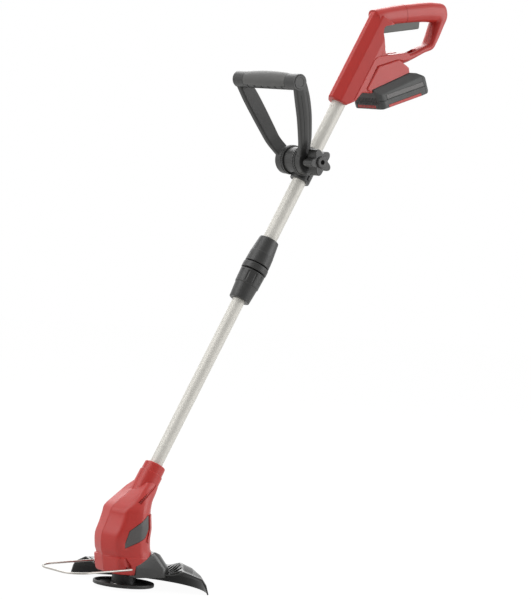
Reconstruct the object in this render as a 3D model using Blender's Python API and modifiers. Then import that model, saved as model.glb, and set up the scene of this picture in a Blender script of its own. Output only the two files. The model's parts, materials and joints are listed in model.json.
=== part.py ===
# Cordless grass trimmer with a blade disc, in metres, +Z up, +X towards the user.
# The world origin is the middle of the rear grip.
import math

import bmesh
import bpy
from mathutils import Matrix, Vector

# Lengths along the shaft, from the rear housing down to the head
shaftAngle = math.radians(62.9)
gripAlong = 0.2282
gripBehind = 0.0559
upperTubeShown = 0.277
sleeveLength = 0.120
lowerTubeShown = 0.324
collarTopLift = 0.112
headRefHeight = 0.100
headRefSetback = 0.0066

# Tubes
upperTubeRadius = 0.0125
upperTubeWall = 0.0011
lowerTubeRadius = 0.0111
lowerTubeWall = 0.0010
upperTubeInHousing = 0.105
upperTubeInSleeve = 0.052
lowerTubeInHead = 0.046
lowerTubeOverlap = 0.095
telescopeTravel = 0.180

# Coupling sleeve on the tube joint
sleeveTopRadius = 0.0178
sleeveBodyRadius = 0.0224
sleeveRingRadius = 0.0232
sleeveGroove = 0.0022
sleeveRingLength = 0.0115
sleeveBodyLength = 0.050
nutStepDrop = 0.025
nutEndRadius = 0.0185

# Clearances
gap = 0.0003
slideGap = 0.0005
moveGap = 0.0010

# Moulded shells
wall = 0.0026
ribThickness = 0.0020

# Rear housing column, around the upper tube
columnLength = 0.1815
columnFront = 0.0245
columnFlatHalf = 0.0042
columnCreaseBack = 0.0115
columnCreaseHalf = 0.0175
columnSideBack = 0.0100
columnSideHalf = 0.0222
columnRear = 0.0215
bodyHalf = 0.0235
bodyEdge = 0.0022
columnEdge = 0.0024

# Closed grip loop, in the grip's own upright frame
gripHalfWidth = 0.0165
gripPower = 2.5

# Trigger
triggerHalf = 0.0080
triggerTurn = math.radians(6.0)
triggerPivotX = -0.0640
triggerPivotZ = -0.0240
triggerEnd = 0.0140
triggerPinRadius = 0.0020
pinGap = 0.00015
pinHalf = 0.0136

# Lock-off button on the right of the grip
lockX = -0.0480
lockZ = -0.0020
lockRadius = 0.0062
lockProud = 0.0030
lockTravel = 0.0025
lockNeck = 0.0035
lockFlange = 0.0014
lockFlangeHeight = 0.0020
lockEdge = 0.0010

# Battery dock and pack
dockX = -0.0900
dockZ = -0.1400
dockAngle = math.radians(24.9)
footHalf = 0.0258
footEdge = 0.0018
packFront = -0.0093
packHalf = 0.0375
packFrontDepth = 0.0385
packRearDepth = 0.0475
packSplit = 0.0152
packWall = 0.0022
railNeckHalf = 0.0165
railLipHalf = 0.0195
railHeight = 0.0085
railLip = 0.0035
railLength = 0.0700
railStart = 0.0060
channelStart = 0.0040
packGap = 0.0015
terminalFrom = 0.0480
terminalTo = 0.0700
terminalHalf = 0.0130
terminalTop = 0.0190
bladeTo = 0.0640
bladePitch = 0.0060
bladeCount = 4
packTravel = 0.0780
cellRadius = 0.0092
cellLength = 0.0650
cellPitch = 0.0190
cellCount = 5
cellStart = 0.0150
cellToLatch = 0.0068
latchHalf = 0.0150
latchLow = -0.0285
latchHigh = -0.0215
latchDepth = 0.0110
latchProud = 0.0006
latchTravel = 0.0025
stripHeight = 0.0034
stripDepth = 0.0016
stripProud = 0.0004
stripLow = 0.0052
frontStripHalf = 0.0240
frontCorner = 0.0120
labelHeight = 0.0078
labelThickness = 0.0008
frontRibCount = 7
frontRibPitch = 0.0080

# Front handle, its clamp and its knob
clampDrop = 0.128
pivotForward = 0.0230
clampLength = 0.046
clampOuterRadius = 0.0180
clampHalfWidth = 0.0200
barrelRadius = 0.0230
ringRadius = 0.0260
ringThickness = 0.0035
ringFoot = 0.0110
boltRadius = 0.0040
boltHeadRadius = 0.0075
boltHeadHeight = 0.0035
armThickness = 0.0120
armRidge = 0.0009
handleHalfWidth = 0.0840
handleLean = math.radians(32.0)
handleReach = 0.1550
barRadius = 0.0142
capRadius = 0.0122
capDepth = 0.0030
knobLobes = 5
knobFirstLobe = math.radians(86.0)
knobLobeAt = 0.0185
knobLobeRadius = 0.0055
knobValleyRadius = 0.0148
knobStandOff = 0.0078
knobDepth = 0.0215
knobNeckRadius = 0.0090
knobHubRadius = 0.0105
knobHubProud = 0.0035
knobEdge = 0.0010

# Motor head, in an upright frame on the disc's axis
headBase = 0.0170
spigotRadius = 0.0300
wedgeFront = -0.0115
wedgeLow = 0.0330
wedgeRear = 0.0265
wedgeHigh = 0.0560
motorRadius = 0.0185
motorBottom = 0.0420
motorTop = 0.0990
motorWall = 0.0012
motorMagnet = 0.0040
rotorRadius = 0.0125
bellHeight = 0.0085
bellNoseRadius = 0.0070
runGap = 0.0004
shaftRadius = 0.0025
spindleRadius = 0.0040
collarRadius = 0.0055
bearingRadius = 0.0110
bearingHeight = 0.0070
bearingBottom = 0.0225

# Cutter disc
discRadius = 0.0520
discRimTop = 0.0012
discRimBottom = -0.0045
discUnderside = -0.0060
discHubRadius = 0.0200
discHubTop = 0.0145
discWall = 0.0025
discBoreFloor = 0.0005
pinDistance = 0.0400
pinAngle = math.radians(212.0)
pinRadius = 0.0022
pinHeight = 0.0070
pinFloor = 0.0015

# Guard behind the disc
guardRadius = 0.1450
guardPlateRadius = 0.0830
guardPlateTop = 0.0155
guardPlateRise = 0.0045
guardLipRadius = 0.1400
guardLipTop = 0.0065
guardSkirtBottom = -0.0085
guardWall = 0.0024
guardFrom = -40.0
guardTo = 92.0
guardSectionCount = 14
guardRibCount = 14
guardRibHalf = 0.0024

guardScrewX = 0.0080
guardScrewHalf = 0.0345
guardScrewSeat = 0.0300
guardScrewLength = 0.0220

# Plant guard made of bent wire
bailWireRadius = 0.00175
bailHalf = 0.0535
bailPivotX = -0.0250
bailPivotZ = 0.0290
bailReach = 0.1230
bailCorner = 0.0330
bailDrop = 0.0070
bailEnd = 0.0165
bailCornerSteps = 5

# Screws
screwRadius = 0.0016
screwHeadRadius = 0.0034
screwHeadHeight = 0.0022
screwTipY = -0.0080

arcSteps = 2
loopSteps = 12
smallSteps = 10
turnSteps = 16
sideways = (-math.pi / 2, 0.0, 0.0)

# Distances along the shaft, from the housing's lower end, upwards positive
sleeveTopZ = -upperTubeShown
sleeveBottomZ = sleeveTopZ - sleeveLength
collarTopZ = sleeveBottomZ - lowerTubeShown
headRefZ = collarTopZ - collarTopLift
clampZ = -clampDrop

packLength = cellStart + (cellCount - 1) * cellPitch + cellRadius + cellToLatch + latchDepth
packSlope = (packRearDepth - packFrontDepth) / packLength
knobSeat = clampHalfWidth + armThickness + 0.0018


def clearScene():
    for item in list(bpy.data.objects):
        bpy.data.objects.remove(item, do_unlink=True)


def collectionNamed(name):
    made = bpy.data.collections.new(name)
    bpy.context.scene.collection.children.link(made)
    return made


def materialNamed(name, colour, roughness, metallic=0.0):
    made = bpy.data.materials.new(name)
    made.use_nodes = True
    shader = made.node_tree.nodes["Principled BSDF"]
    shader.inputs["Base Color"].default_value = (*colour, 1.0)
    shader.inputs["Roughness"].default_value = roughness
    shader.inputs["Metallic"].default_value = metallic
    made.diffuse_color = (*colour, 1.0)
    return made


def frameAt(name, location, turn=0.0, parent=None):
    made = bpy.data.objects.new(name, None)
    made.empty_display_size = 0.02
    made.location = location
    made.rotation_euler = (0.0, turn, 0.0)
    made.parent = parent
    partCollection.objects.link(made)
    return made


clearScene()
partCollection = collectionNamed("grass_trimmer")
cutterCollection = collectionNamed("cutters")

red = materialNamed("red_housing", (0.42, 0.030, 0.028), 0.42)
redTrim = materialNamed("red_trim", (0.48, 0.035, 0.030), 0.45)
darkPlastic = materialNamed("dark_plastic", (0.028, 0.029, 0.028), 0.48)
softGrip = materialNamed("soft_grip", (0.055, 0.055, 0.052), 0.75)
packGrey = materialNamed("pack_grey", (0.050, 0.052, 0.050), 0.50)
triggerGrey = materialNamed("trigger_grey", (0.085, 0.088, 0.080), 0.50)
labelGrey = materialNamed("label_grey", (0.10, 0.10, 0.10), 0.40)
tubeGrey = materialNamed("tube_grey", (0.62, 0.60, 0.55), 0.38, 0.55)
steel = materialNamed("steel", (0.60, 0.60, 0.60), 0.30, 1.0)
wireWhite = materialNamed("plated_wire", (0.72, 0.72, 0.70), 0.30, 1.0)
cellBlue = materialNamed("cell_wrap", (0.05, 0.14, 0.35), 0.45)
copper = materialNamed("rotor_core", (0.45, 0.24, 0.12), 0.35, 1.0)
brass = materialNamed("contact_brass", (0.62, 0.46, 0.18), 0.35, 1.0)


def along(forward, upward):
    """A point given in the shaft's own directions, turned into the world's."""
    return Vector((forward * math.sin(shaftAngle) + upward * math.cos(shaftAngle), 0.0,
                   upward * math.sin(shaftAngle) - forward * math.cos(shaftAngle)))


shaft = frameAt("shaft_frame", -along(gripBehind, gripAlong), math.pi / 2 - shaftAngle)
headSpot = along(0.0, headRefZ) - along(gripBehind, gripAlong)
head = frameAt("head_frame", headSpot + Vector((headRefSetback, 0.0, -headRefHeight)))
grip = frameAt("grip_frame", (0.0, 0.0, 0.0))
dock = frameAt("dock_frame", (dockX, 0.0, dockZ), -dockAngle)
pivot = frameAt("handle_pivot", (-pivotForward, 0.0, clampZ), 0.0, shaft)
pivotWorld = along(-pivotForward, clampZ) - along(gripBehind, gripAlong)
handle = frameAt("handle_frame_axis", pivotWorld, -handleLean)


def place(item, frame, material, collection=None):
    (collection or partCollection).objects.link(item)
    item.parent = frame
    if material:
        item.data.materials.append(material)
    return item


def evaluatedMesh(item):
    bpy.context.view_layer.update()
    graph = bpy.context.evaluated_depsgraph_get()
    return bpy.data.meshes.new_from_object(item.evaluated_get(graph))


def tidied(mesh):
    """Merges the near-coincident corners that a Boolean leaves."""
    work = bmesh.new()
    work.from_mesh(mesh)
    bmesh.ops.remove_doubles(work, verts=work.verts, dist=1e-6)
    work.to_mesh(mesh)
    work.free()


def bake(item):
    """Turns the object's modifiers into its mesh."""
    mesh = evaluatedMesh(item)
    item.modifiers.clear()
    item.data = mesh
    return item


def combine(item, others, operation, keep=False):
    """One Boolean of the object with all the others at once."""
    batch = bpy.data.collections.new("batch")
    cutterCollection.children.link(batch)
    for other in others:
        batch.objects.link(other)
    step = item.modifiers.new(operation.lower(), "BOOLEAN")
    step.operation = operation
    step.operand_type = "COLLECTION"
    step.collection = batch
    bake(item)
    tidied(item.data)
    for other in others:
        batch.objects.unlink(other)
        if not keep:
            bpy.data.objects.remove(other, do_unlink=True)
    bpy.data.collections.remove(batch)
    return item


def cut(item, *others):
    return combine(item, others, "DIFFERENCE")


def join(item, *others):
    return combine(item, others, "UNION")


def common(item, *others):
    return combine(item, others, "INTERSECT")


def bevelled(item, width, segments=1, angle=35.0):
    step = item.modifiers.new("bevel", "BEVEL")
    step.width = width
    step.segments = segments
    step.limit_method = "ANGLE"
    step.angle_limit = math.radians(angle)
    return bake(item)


def smooth(item, angle=35.0):
    item.data.polygons.foreach_set("use_smooth", [True] * len(item.data.polygons))
    item.data.set_sharp_from_angle(angle=math.radians(angle))
    return item


def cleaned(mesh):
    work = bmesh.new()
    work.from_mesh(mesh)
    bmesh.ops.remove_doubles(work, verts=work.verts, dist=1e-6)
    bmesh.ops.recalc_face_normals(work, faces=work.faces)
    work.to_mesh(mesh)
    work.free()
    return mesh


def copyOf(item, name):
    made = bpy.data.objects.new(name, item.data.copy())
    made.parent = item.parent
    made.matrix_local = item.matrix_local
    partCollection.objects.link(made)
    return made


def box(name, frame, low, high, material=None, edge=0.0):
    work = bmesh.new()
    bmesh.ops.create_cube(work, size=1.0)
    size = [h - l for l, h in zip(low, high)]
    middle = [(h + l) / 2 for l, h in zip(low, high)]
    bmesh.ops.scale(work, verts=work.verts, vec=size)
    bmesh.ops.translate(work, verts=work.verts, vec=middle)
    mesh = bpy.data.meshes.new(name)
    work.to_mesh(mesh)
    work.free()
    item = place(bpy.data.objects.new(name, mesh), frame, material)
    return bevelled(item, edge) if edge else item


def rod(name, frame, start, end, radius, material=None, steps=turnSteps, endRadius=None):
    """A cylinder or cone between two points."""
    start = Vector(start)
    end = Vector(end)
    work = bmesh.new()
    bmesh.ops.create_cone(work, cap_ends=True, segments=steps, radius1=radius,
                          radius2=radius if endRadius is None else endRadius,
                          depth=(end - start).length)
    turn = (end - start).to_track_quat("Z", "Y").to_matrix().to_4x4()
    bmesh.ops.transform(work, matrix=Matrix.Translation((start + end) / 2) @ turn, verts=work.verts)
    mesh = bpy.data.meshes.new(name)
    work.to_mesh(mesh)
    work.free()
    return place(bpy.data.objects.new(name, mesh), frame, material)


def turned(name, frame, profile, material=None, steps=turnSteps, spot=(0.0, 0.0, 0.0), tilt=(0.0, 0.0, 0.0)):
    """A profile of (radius, height) points from top to bottom, revolved about the local Z axis."""
    mesh = bpy.data.meshes.new(name)
    mesh.from_pydata([(r, 0.0, z) for r, z in profile], [(i, i + 1) for i in range(len(profile) - 1)], [])
    item = place(bpy.data.objects.new(name, mesh), frame, None)
    item.location = spot
    item.rotation_euler = tilt
    step = item.modifiers.new("screw", "SCREW")
    step.steps = steps
    step.render_steps = steps
    step.use_merge_vertices = True
    step.merge_threshold = 1e-5
    step.use_normal_calculate = True
    bake(item)
    cleaned(item.data)
    if material:
        item.data.materials.append(material)
    return item


def rounded(points, steps=arcSteps):
    """Corners given as (x, z) or (x, z, radius), the last rounded by an arc of a few points."""
    made = []
    for index, point in enumerate(points):
        here = Vector(point[:2])
        if len(point) < 3:
            made.append(here)
            continue
        before = (Vector(points[index - 1][:2]) - here).normalized()
        after = (Vector(points[(index + 1) % len(points)][:2]) - here).normalized()
        half = before.angle(after) / 2
        middle = here + (before + after).normalized() * point[2] / math.sin(half)
        first = here + before * point[2] / math.tan(half)
        last = here + after * point[2] / math.tan(half)
        start = math.atan2(first.y - middle.y, first.x - middle.x)
        sweep = math.atan2(last.y - middle.y, last.x - middle.x) - start
        sweep = (sweep + math.pi) % (2 * math.pi) - math.pi
        for step in range(steps + 1):
            angle = start + sweep * step / steps
            made.append(middle + Vector((math.cos(angle), math.sin(angle))) * point[2])
    return made


def plate(name, frame, points, half, material=None, edge=0.0, middle=0.0, flat=False):
    """A flat outline in the frame's XZ plane, or XY if flat, extruded to each side."""
    curve = bpy.data.curves.new(name, "CURVE")
    curve.dimensions = "2D"
    curve.fill_mode = "BOTH"
    curve.extrude = half
    line = curve.splines.new("POLY")
    outline = rounded(points)
    line.points.add(len(outline) - 1)
    for spot, point in zip(line.points, outline):
        spot.co = (point.x, point.y, 0.0, 1.0)
    line.use_cyclic_u = True
    drawn = bpy.data.objects.new(name + "_outline", curve)
    partCollection.objects.link(drawn)
    mesh = evaluatedMesh(drawn)
    bpy.data.objects.remove(drawn, do_unlink=True)
    turn = Matrix.Identity(4) if flat else Matrix.Rotation(math.pi / 2, 4, "X")
    shift = (0.0, 0.0, middle) if flat else (0.0, middle, 0.0)
    mesh.transform(Matrix.Translation(shift) @ turn)
    cleaned(mesh)
    item = place(bpy.data.objects.new(name, mesh), frame, material)
    return bevelled(item, edge) if edge else item


def loft(name, frame, rings, material=None, closed=False):
    """A skin bridged through rings of equally many points."""
    work = bmesh.new()
    loops = []
    for ring in rings:
        corners = [work.verts.new(point) for point in ring]
        loops.append([work.edges.new((a, b)) for a, b in zip(corners, corners[1:] + corners[:1])])
    pairs = list(zip(loops, loops[1:]))
    if closed:
        pairs.append((loops[-1], loops[0]))
    for one, two in pairs:
        bmesh.ops.bridge_loops(work, edges=one + two)
    if not closed:
        bmesh.ops.contextual_create(work, geom=loops[0])
        bmesh.ops.contextual_create(work, geom=loops[-1])
    bmesh.ops.triangulate(work, faces=[face for face in work.faces if len(face.verts) == 4])
    bmesh.ops.recalc_face_normals(work, faces=work.faces)
    mesh = bpy.data.meshes.new(name)
    work.to_mesh(mesh)
    work.free()
    return place(bpy.data.objects.new(name, mesh), frame, material)


def superRing(middle, acrossA, acrossB, halfA, halfB, power, count):
    """Points of a superellipse spanned by two unit directions."""
    made = []
    for index in range(count):
        angle = 2 * math.pi * (index + 0.5) / count
        c = math.cos(angle)
        s = math.sin(angle)
        a = math.copysign(abs(c) ** (2 / power), c) * halfA
        b = math.copysign(abs(s) ** (2 / power), s) * halfB
        made.append(middle + acrossA * a + acrossB * b)
    return made


def wire(name, frame, points, radius, material=None, resolution=2, cyclic=False):
    curve = bpy.data.curves.new(name, "CURVE")
    curve.dimensions = "3D"
    curve.bevel_depth = radius
    curve.bevel_resolution = resolution
    curve.use_fill_caps = True
    line = curve.splines.new("POLY")
    line.points.add(len(points) - 1)
    for spot, point in zip(line.points, points):
        spot.co = (*point, 1.0)
    line.use_cyclic_u = cyclic
    drawn = bpy.data.objects.new(name + "_line", curve)
    partCollection.objects.link(drawn)
    mesh = evaluatedMesh(drawn)
    bpy.data.objects.remove(drawn, do_unlink=True)
    cleaned(mesh)
    return place(bpy.data.objects.new(name, mesh), frame, material)


# Rear housing

def columnSection(inset, lengthways):
    """Half outline of the column, front to rear, mirrored to the other side."""
    side = [(-columnFront + inset, columnFlatHalf - inset * 0.4),
            (-columnCreaseBack + inset * 0.5, columnCreaseHalf - inset * 0.9),
            (columnSideBack, columnSideHalf - inset),
            (columnRear - inset, columnSideHalf - inset)]
    return [Vector((x, -y, lengthways)) for x, y in side] + [Vector((x, y, lengthways)) for x, y in reversed(side)]


def columnSolid(inset):
    """The column around the tube, its lower end cut on a slant behind the tube."""
    stations = [0.003 + inset, columnLength - inset]
    item = loft("column", shaft, [columnSection(inset, z) for z in stations])
    if not inset:
        bevelled(item, columnEdge, 1, 20.0)
    slant = [(0.0030 - inset, -0.01), (0.0030 - inset, 0.0045 + inset), (0.0140 - inset, 0.0185 + inset),
             (0.0190 - inset, 0.0400 + inset), (0.0400, 0.0520 + inset), (0.0400, -0.01)]
    return cut(item, plate("slant", shaft, slant, 0.1))


gripStations = [
    # x, z, half height, half width, heading of the path in degrees
    (-0.0880, -0.0173, 0.0152, 0.0150, 18.0),
    (-0.0760, -0.0141, 0.0158, 0.0165, 17.0),
    (-0.0560, -0.0093, 0.0160, 0.0165, 16.0),
    (-0.0300, -0.0037, 0.0168, 0.0165, 13.0),
    (0.0000, 0.0018, 0.0170, 0.0165, 10.5),
    (0.0260, 0.0062, 0.0176, 0.0165, 8.0),
    (0.0430, 0.0080, 0.0180, 0.0165, 6.0),
    (0.0604, 0.0075, 0.0200, 0.0163, -31.0),
    (0.0648, -0.0016, 0.0160, 0.0160, -58.6),
    (0.0610, -0.0130, 0.0105, 0.0155, -108.0),
    (0.0502, -0.0430, 0.0080, 0.0150, -112.0),
    (0.0442, -0.0539, 0.0070, 0.0147, -130.0),
    (0.0290, -0.0608, 0.0062, 0.0145, -153.0),
    (0.0050, -0.0733, 0.0065, 0.0145, -153.0),
    (-0.0150, -0.0815, 0.0080, 0.0150, -162.0),
    (-0.0350, -0.0860, 0.0080, 0.0160, -168.0)]


def loopSolid(inset):
    rings = []
    for x, z, high, wide, heading in gripStations[1:-1] if inset else gripStations:
        turn = math.radians(heading)
        up = Vector((-math.sin(turn), 0.0, math.cos(turn)))
        rings.append(superRing(Vector((x, 0.0, z)), up, Vector((0.0, 1.0, 0.0)),
                               max(high - inset, 0.0030), wide - inset, gripPower, loopSteps))
    return loft("loop", grip, rings)


bodyOutline = [
    # x, z and corner radius in the grip's frame
    (-0.1373, -0.1665), (-0.1330, -0.1675, 0.003), (-0.1184, -0.1510, 0.004), (-0.0975, -0.1508),
    (-0.1075, -0.1440), (-0.1005, -0.1255), (-0.0893, -0.1023), (-0.0436, -0.0862, 0.010), (-0.0290, -0.0865),
    (-0.0130, -0.0830), (-0.0140, -0.0745), (-0.0215, -0.0708, 0.002), (-0.0690, -0.0800), (-0.0915, -0.0850, 0.008),
    (-0.0990, -0.0920, 0.006)]

windowOutline = [
    # x and z of the loop's opening where it bounds the column
    (-0.0760, -0.0630), (-0.0702, -0.0800, 0.003), (-0.0215, -0.0708), (-0.0140, -0.0700), (0.0100, -0.0600), (0.0100, -0.0190),
    (-0.0295, -0.0190), (-0.0570, -0.0240), (-0.0760, -0.0290),
    (-0.0800, -0.0340), (-0.0805, -0.0424)]


def insetOutline(points, inset):
    """The outline moved inwards by one distance, each corner along its bisector."""
    made = []
    for index, point in enumerate(points):
        here = Vector(point[:2])
        before = (here - Vector(points[index - 1][:2])).normalized()
        after = (Vector(points[(index + 1) % len(points)][:2]) - here).normalized()
        inward = Vector((-before.y - after.y, before.x + after.x)).normalized()
        share = max(inward.dot(Vector((-before.y, before.x))), 0.5)
        made.append((*(here + inward * inset / share), *point[2:]))
    return made


def bodySolid(inset):
    points = insetOutline(bodyOutline, inset)
    item = plate("body", grip, points, bodyHalf - inset)
    return item if inset else bevelled(item, bodyEdge, 1, 50.0)


footOutline = [
    # x, z and corner radius in the dock's frame
    (-0.0137, -0.0060), (0.0830, -0.0060), (0.0850, 0.0080, 0.003), (0.0675, 0.0295, 0.006),
    (0.0165, 0.0340, 0.006), (-0.0210, 0.0050, 0.003)]


def footSolid(inset):
    """The proud block that the battery slides on to."""
    item = plate("foot", dock, insetOutline(footOutline, inset), footHalf - inset)
    return item if inset else bevelled(item, footEdge, 1, 50.0)


webOutline = [(-0.1000, -0.1050), (-0.0600, -0.0900), (-0.0600, -0.0780), (-0.0700, -0.0500), (-0.1000, -0.0600)]
webHalf = 0.0208


def housingSolid(inset):
    web = plate("web", grip, insetOutline(webOutline, inset), webHalf - inset)
    item = join(bodySolid(inset), columnSolid(inset), footSolid(inset), web)
    cut(item, plate("window", grip, insetOutline(windowOutline, -inset), 0.1))
    return join(item, loopSolid(inset))


def packRoom(lift=0.0):
    """The room that the battery slides through."""
    return box("pack_room", dock, (packFront - packGap - lift, -0.2, -0.2), (0.4, 0.2, lift))


def channelCutter():
    """The groove in the foot that takes the battery's rails, open to the rear."""
    neck = railNeckHalf + slideGap
    lip = railLipHalf + slideGap
    item = box("channel", dock, (channelStart, -neck, -0.01), (0.4, neck, railHeight + gap))
    lips = box("lips", dock, (channelStart, -lip, railHeight - railLip - slideGap), (0.4, lip, railHeight + gap))
    return join(item, lips)


screwSpots = [(-0.1000, -0.1280), (-0.0850, -0.0520), (0.0600, 0.0045), (-0.0432, -0.0913)]
bossRadius = 0.0045
columnRibs = (0.060,)
gripRibs = (0.030,)


def rearCavity():
    """What the moulded shells leave empty: the inset form less ribs, screw bosses and the dock's roof."""
    kept = [packRoom(railHeight + gap + wall)]
    for level in columnRibs:
        kept.append(box("rib", shaft, (-0.2, -0.2, level), (0.2, 0.2, level + ribThickness)))
    for x in gripRibs:
        kept.append(box("rib", grip, (x, -0.2, -0.02), (x + ribThickness, 0.2, 0.05)))
    for x, z in screwSpots:
        kept.append(rod("boss", grip, (x, -0.2, z), (x, 0.2, z), bossRadius, steps=smallSteps))
    return cut(housingSolid(wall), *kept)


def triggerOutline(extra=0.0):
    """Side outline of the trigger, grown by a clearance."""
    low = -0.0420
    rear = -0.0250
    return [(-0.0730 - extra, low + 0.0020 - extra, 0.002), (-0.0700, low - extra * 1.2, 0.002),
            (triggerEnd + extra, rear - extra, 0.0035), (triggerEnd + extra, -0.0095 + extra, 0.002),
            (-0.0200, -0.0145 + extra), (-0.0560, -0.0170 + extra, 0.003), (-0.0720 - extra, -0.0230 + extra, 0.003)]


def makeTrigger():
    item = plate("trigger", grip, triggerOutline(), triggerHalf, triggerGrey, 0.0012)
    pocket = box("pocket", grip, (-0.0040, -0.0045, springLow - 0.0004), (0.0050, 0.0045, 0.0))
    hole = rod("hole", grip, (triggerPivotX, -0.2, triggerPivotZ), (triggerPivotX, 0.2, triggerPivotZ),
               triggerPinRadius + pinGap, steps=12)
    cut(item, pocket, hole)
    return smooth(item)


def makeTriggerPin():
    return smooth(rod("trigger_pin", grip, (triggerPivotX, -pinHalf, triggerPivotZ),
                      (triggerPivotX, pinHalf, triggerPivotZ), triggerPinRadius, steel, 12))


def triggerRoom():
    """The room that the trigger sweeps, open below."""
    lift = (triggerEnd - triggerPivotX) * math.tan(triggerTurn)
    return plate("trigger_room", grip, [
        (-0.0748, -0.0600), (triggerEnd + 0.0025, -0.0600), (triggerEnd + 0.0025, lift - 0.0095 + moveGap),
        (-0.0200, lift * 0.56 - 0.0145 + moveGap), (-0.0560, -0.0152), (-0.0748, -0.0205)], triggerHalf + moveGap)


springTurns = 4
springRadius = 0.0032
springWire = 0.0004
springLow = -0.0186
springHigh = -0.0004
springSteps = 7


def makeTriggerSpring():
    count = springTurns * springSteps
    points = []
    for step in range(count + 1):
        angle = 2 * math.pi * springTurns * step / count
        height = springLow + (springHigh - springLow) * step / count
        points.append((0.0005 + springRadius * math.cos(angle), springRadius * math.sin(angle), height))
    return smooth(wire("trigger_spring", grip, points, springWire, steel, 1))


switchFrom = -0.0120
switchTo = 0.0260
switchHalf = 0.0078
switchLow = 0.0002
switchHigh = 0.0125


def switchBlock(name, extra, material=None, edge=0.0):
    return box(name, grip, (switchFrom - extra, -switchHalf - extra, switchLow - extra),
               (switchTo + extra, switchHalf + extra, switchHigh + extra), material, edge)


def bladeRows():
    """Where the contact blades stand across the dock."""
    return [(index - (bladeCount - 1) / 2) * bladePitch for index in range(bladeCount)]


def makeTerminals():
    item = box("terminal_block", dock, (terminalFrom, -terminalHalf, railHeight + slideGap + gap),
               (terminalTo, terminalHalf, terminalTop), darkPlastic)
    blades = [box("blade", dock, (terminalFrom + 0.0020, y - 0.0005, 0.0025), (bladeTo, y + 0.0005, 0.0120)) for y in bladeRows()]
    return smooth(join(item, *blades))


def lockProfile(extra, top, bottom):
    """The button's stepped outline, or the room for it with a clearance."""
    flange = lockRadius + lockFlange
    return [(0.0, top), (lockRadius + extra, top), (lockRadius + extra, -lockNeck), (flange + extra, -lockNeck),
            (flange + extra, bottom), (0.0, bottom)]


def makeLockButton():
    profile = lockProfile(0.0, lockProud, -lockNeck - lockFlangeHeight)
    profile[1:2] = [(lockRadius - lockEdge, lockProud), (lockRadius, lockProud - lockEdge)]
    return smooth(turned("lock_button", grip, profile, darkPlastic, 12, (lockX, gripHalfWidth, lockZ), sideways))


def lockRoom():
    return turned("lock_room", grip, lockProfile(slideGap, 0.02, -lockNeck - lockFlangeHeight - lockTravel - slideGap),
                  None, 12, (lockX, gripHalfWidth + gap, lockZ), sideways)


def screwProfile(extra, top, tip):
    """A pan-headed screw pointing down, or the room for one."""
    under = -screwHeadHeight - extra
    return [(0.0, top), (screwHeadRadius + extra, top), (screwHeadRadius + extra, under), (screwRadius + extra, under),
            (screwRadius + extra, tip - extra), (0.0, tip - extra)]


def screwAt(name, frame, x, z, headY):
    return smooth(turned(name, frame, screwProfile(0.0, 0.0, screwTipY - headY), steel, 8, (x, headY, z), sideways))


def screwRoom(frame, x, z, headY):
    return turned("screw_room", frame, screwProfile(gap, 0.05, screwTipY - headY), None, 8, (x, headY, z), sideways)


def halves(outer, names, frame, material, cutters):
    """Splits a housing at the middle plane into a left and a right shell."""
    made = []
    for cutter in cutters:
        cut(outer, cutter)
    for name, low, high in ((names[0], -gap / 2, 0.3), (names[1], -0.3, gap / 2)):
        half = copyOf(outer, name)
        cut(half, box("other_side", frame, (-0.6, low, -0.6), (0.6, high, 0.6)))
        half.data.materials.clear()
        half.data.materials.append(material)
        made.append(smooth(half))
    bpy.data.objects.remove(outer, do_unlink=True)
    return made


def rearScrews():
    """Where the housing's screws go in, x, z and the head's place across."""
    return [(x, z, gripHalfWidth - 0.004 if z > triggerPivotZ else bodyHalf - 0.005) for x, z in screwSpots]


def makeRearHousing():
    cutters = [rearCavity(), channelCutter(), triggerRoom(), lockRoom(), packRoom(), switchBlock("switch_room", gap),
               rod("mouth", shaft, (0.0, 0.0, -0.2), (0.0, 0.0, upperTubeInHousing), upperTubeRadius + gap),
               box("terminal_room", dock, (terminalFrom - gap, -terminalHalf - gap, 0.0),
                   (terminalTo + gap, terminalHalf + gap, terminalTop + gap)),
               rod("pin_room", grip, (triggerPivotX, -pinHalf - gap, triggerPivotZ),
                   (triggerPivotX, pinHalf + gap, triggerPivotZ), triggerPinRadius + gap, steps=12)]
    cutters += [screwRoom(grip, x, z, y) for x, z, y in rearScrews()]
    halves(housingSolid(0.0), ("rear_shell_left", "rear_shell_right"), grip, red, cutters)
    for index, (x, z, y) in enumerate(rearScrews()):
        screwAt("rear_screw_%d" % (index + 1), grip, x, z, y)


# Tubes and coupling sleeve

def makeTubes():
    outer = upperTubeRadius
    inner = upperTubeRadius - upperTubeWall
    top = upperTubeInHousing - gap
    bottom = sleeveTopZ - upperTubeInSleeve
    smooth(turned("upper_tube", shaft, [(outer, top), (outer, bottom), (inner, bottom), (inner, top), (outer, top)],
                  tubeGrey))
    outer = lowerTubeRadius
    inner = lowerTubeRadius - lowerTubeWall
    top = bottom + lowerTubeOverlap
    bottom = collarTopZ - lowerTubeInHead
    smooth(turned("lower_tube", shaft, [(outer, top), (outer, bottom), (inner, bottom), (inner, top), (outer, top)],
                  tubeGrey))


def grooved(item, frame, radius, low, high, count, start=0.0, depth=0.0012, width=0.0035):
    """Shallow flutes along a turned grip."""
    flutes = []
    for index in range(count):
        angle = start + 2 * math.pi * index / count
        x = (radius + width * 0.30) * math.cos(angle)
        y = (radius + width * 0.30) * math.sin(angle)
        flutes.append(rod("flute", frame, (x, y, low), (x, y, high), width / 2 + depth, steps=6))
    return cut(item, *flutes)


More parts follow.
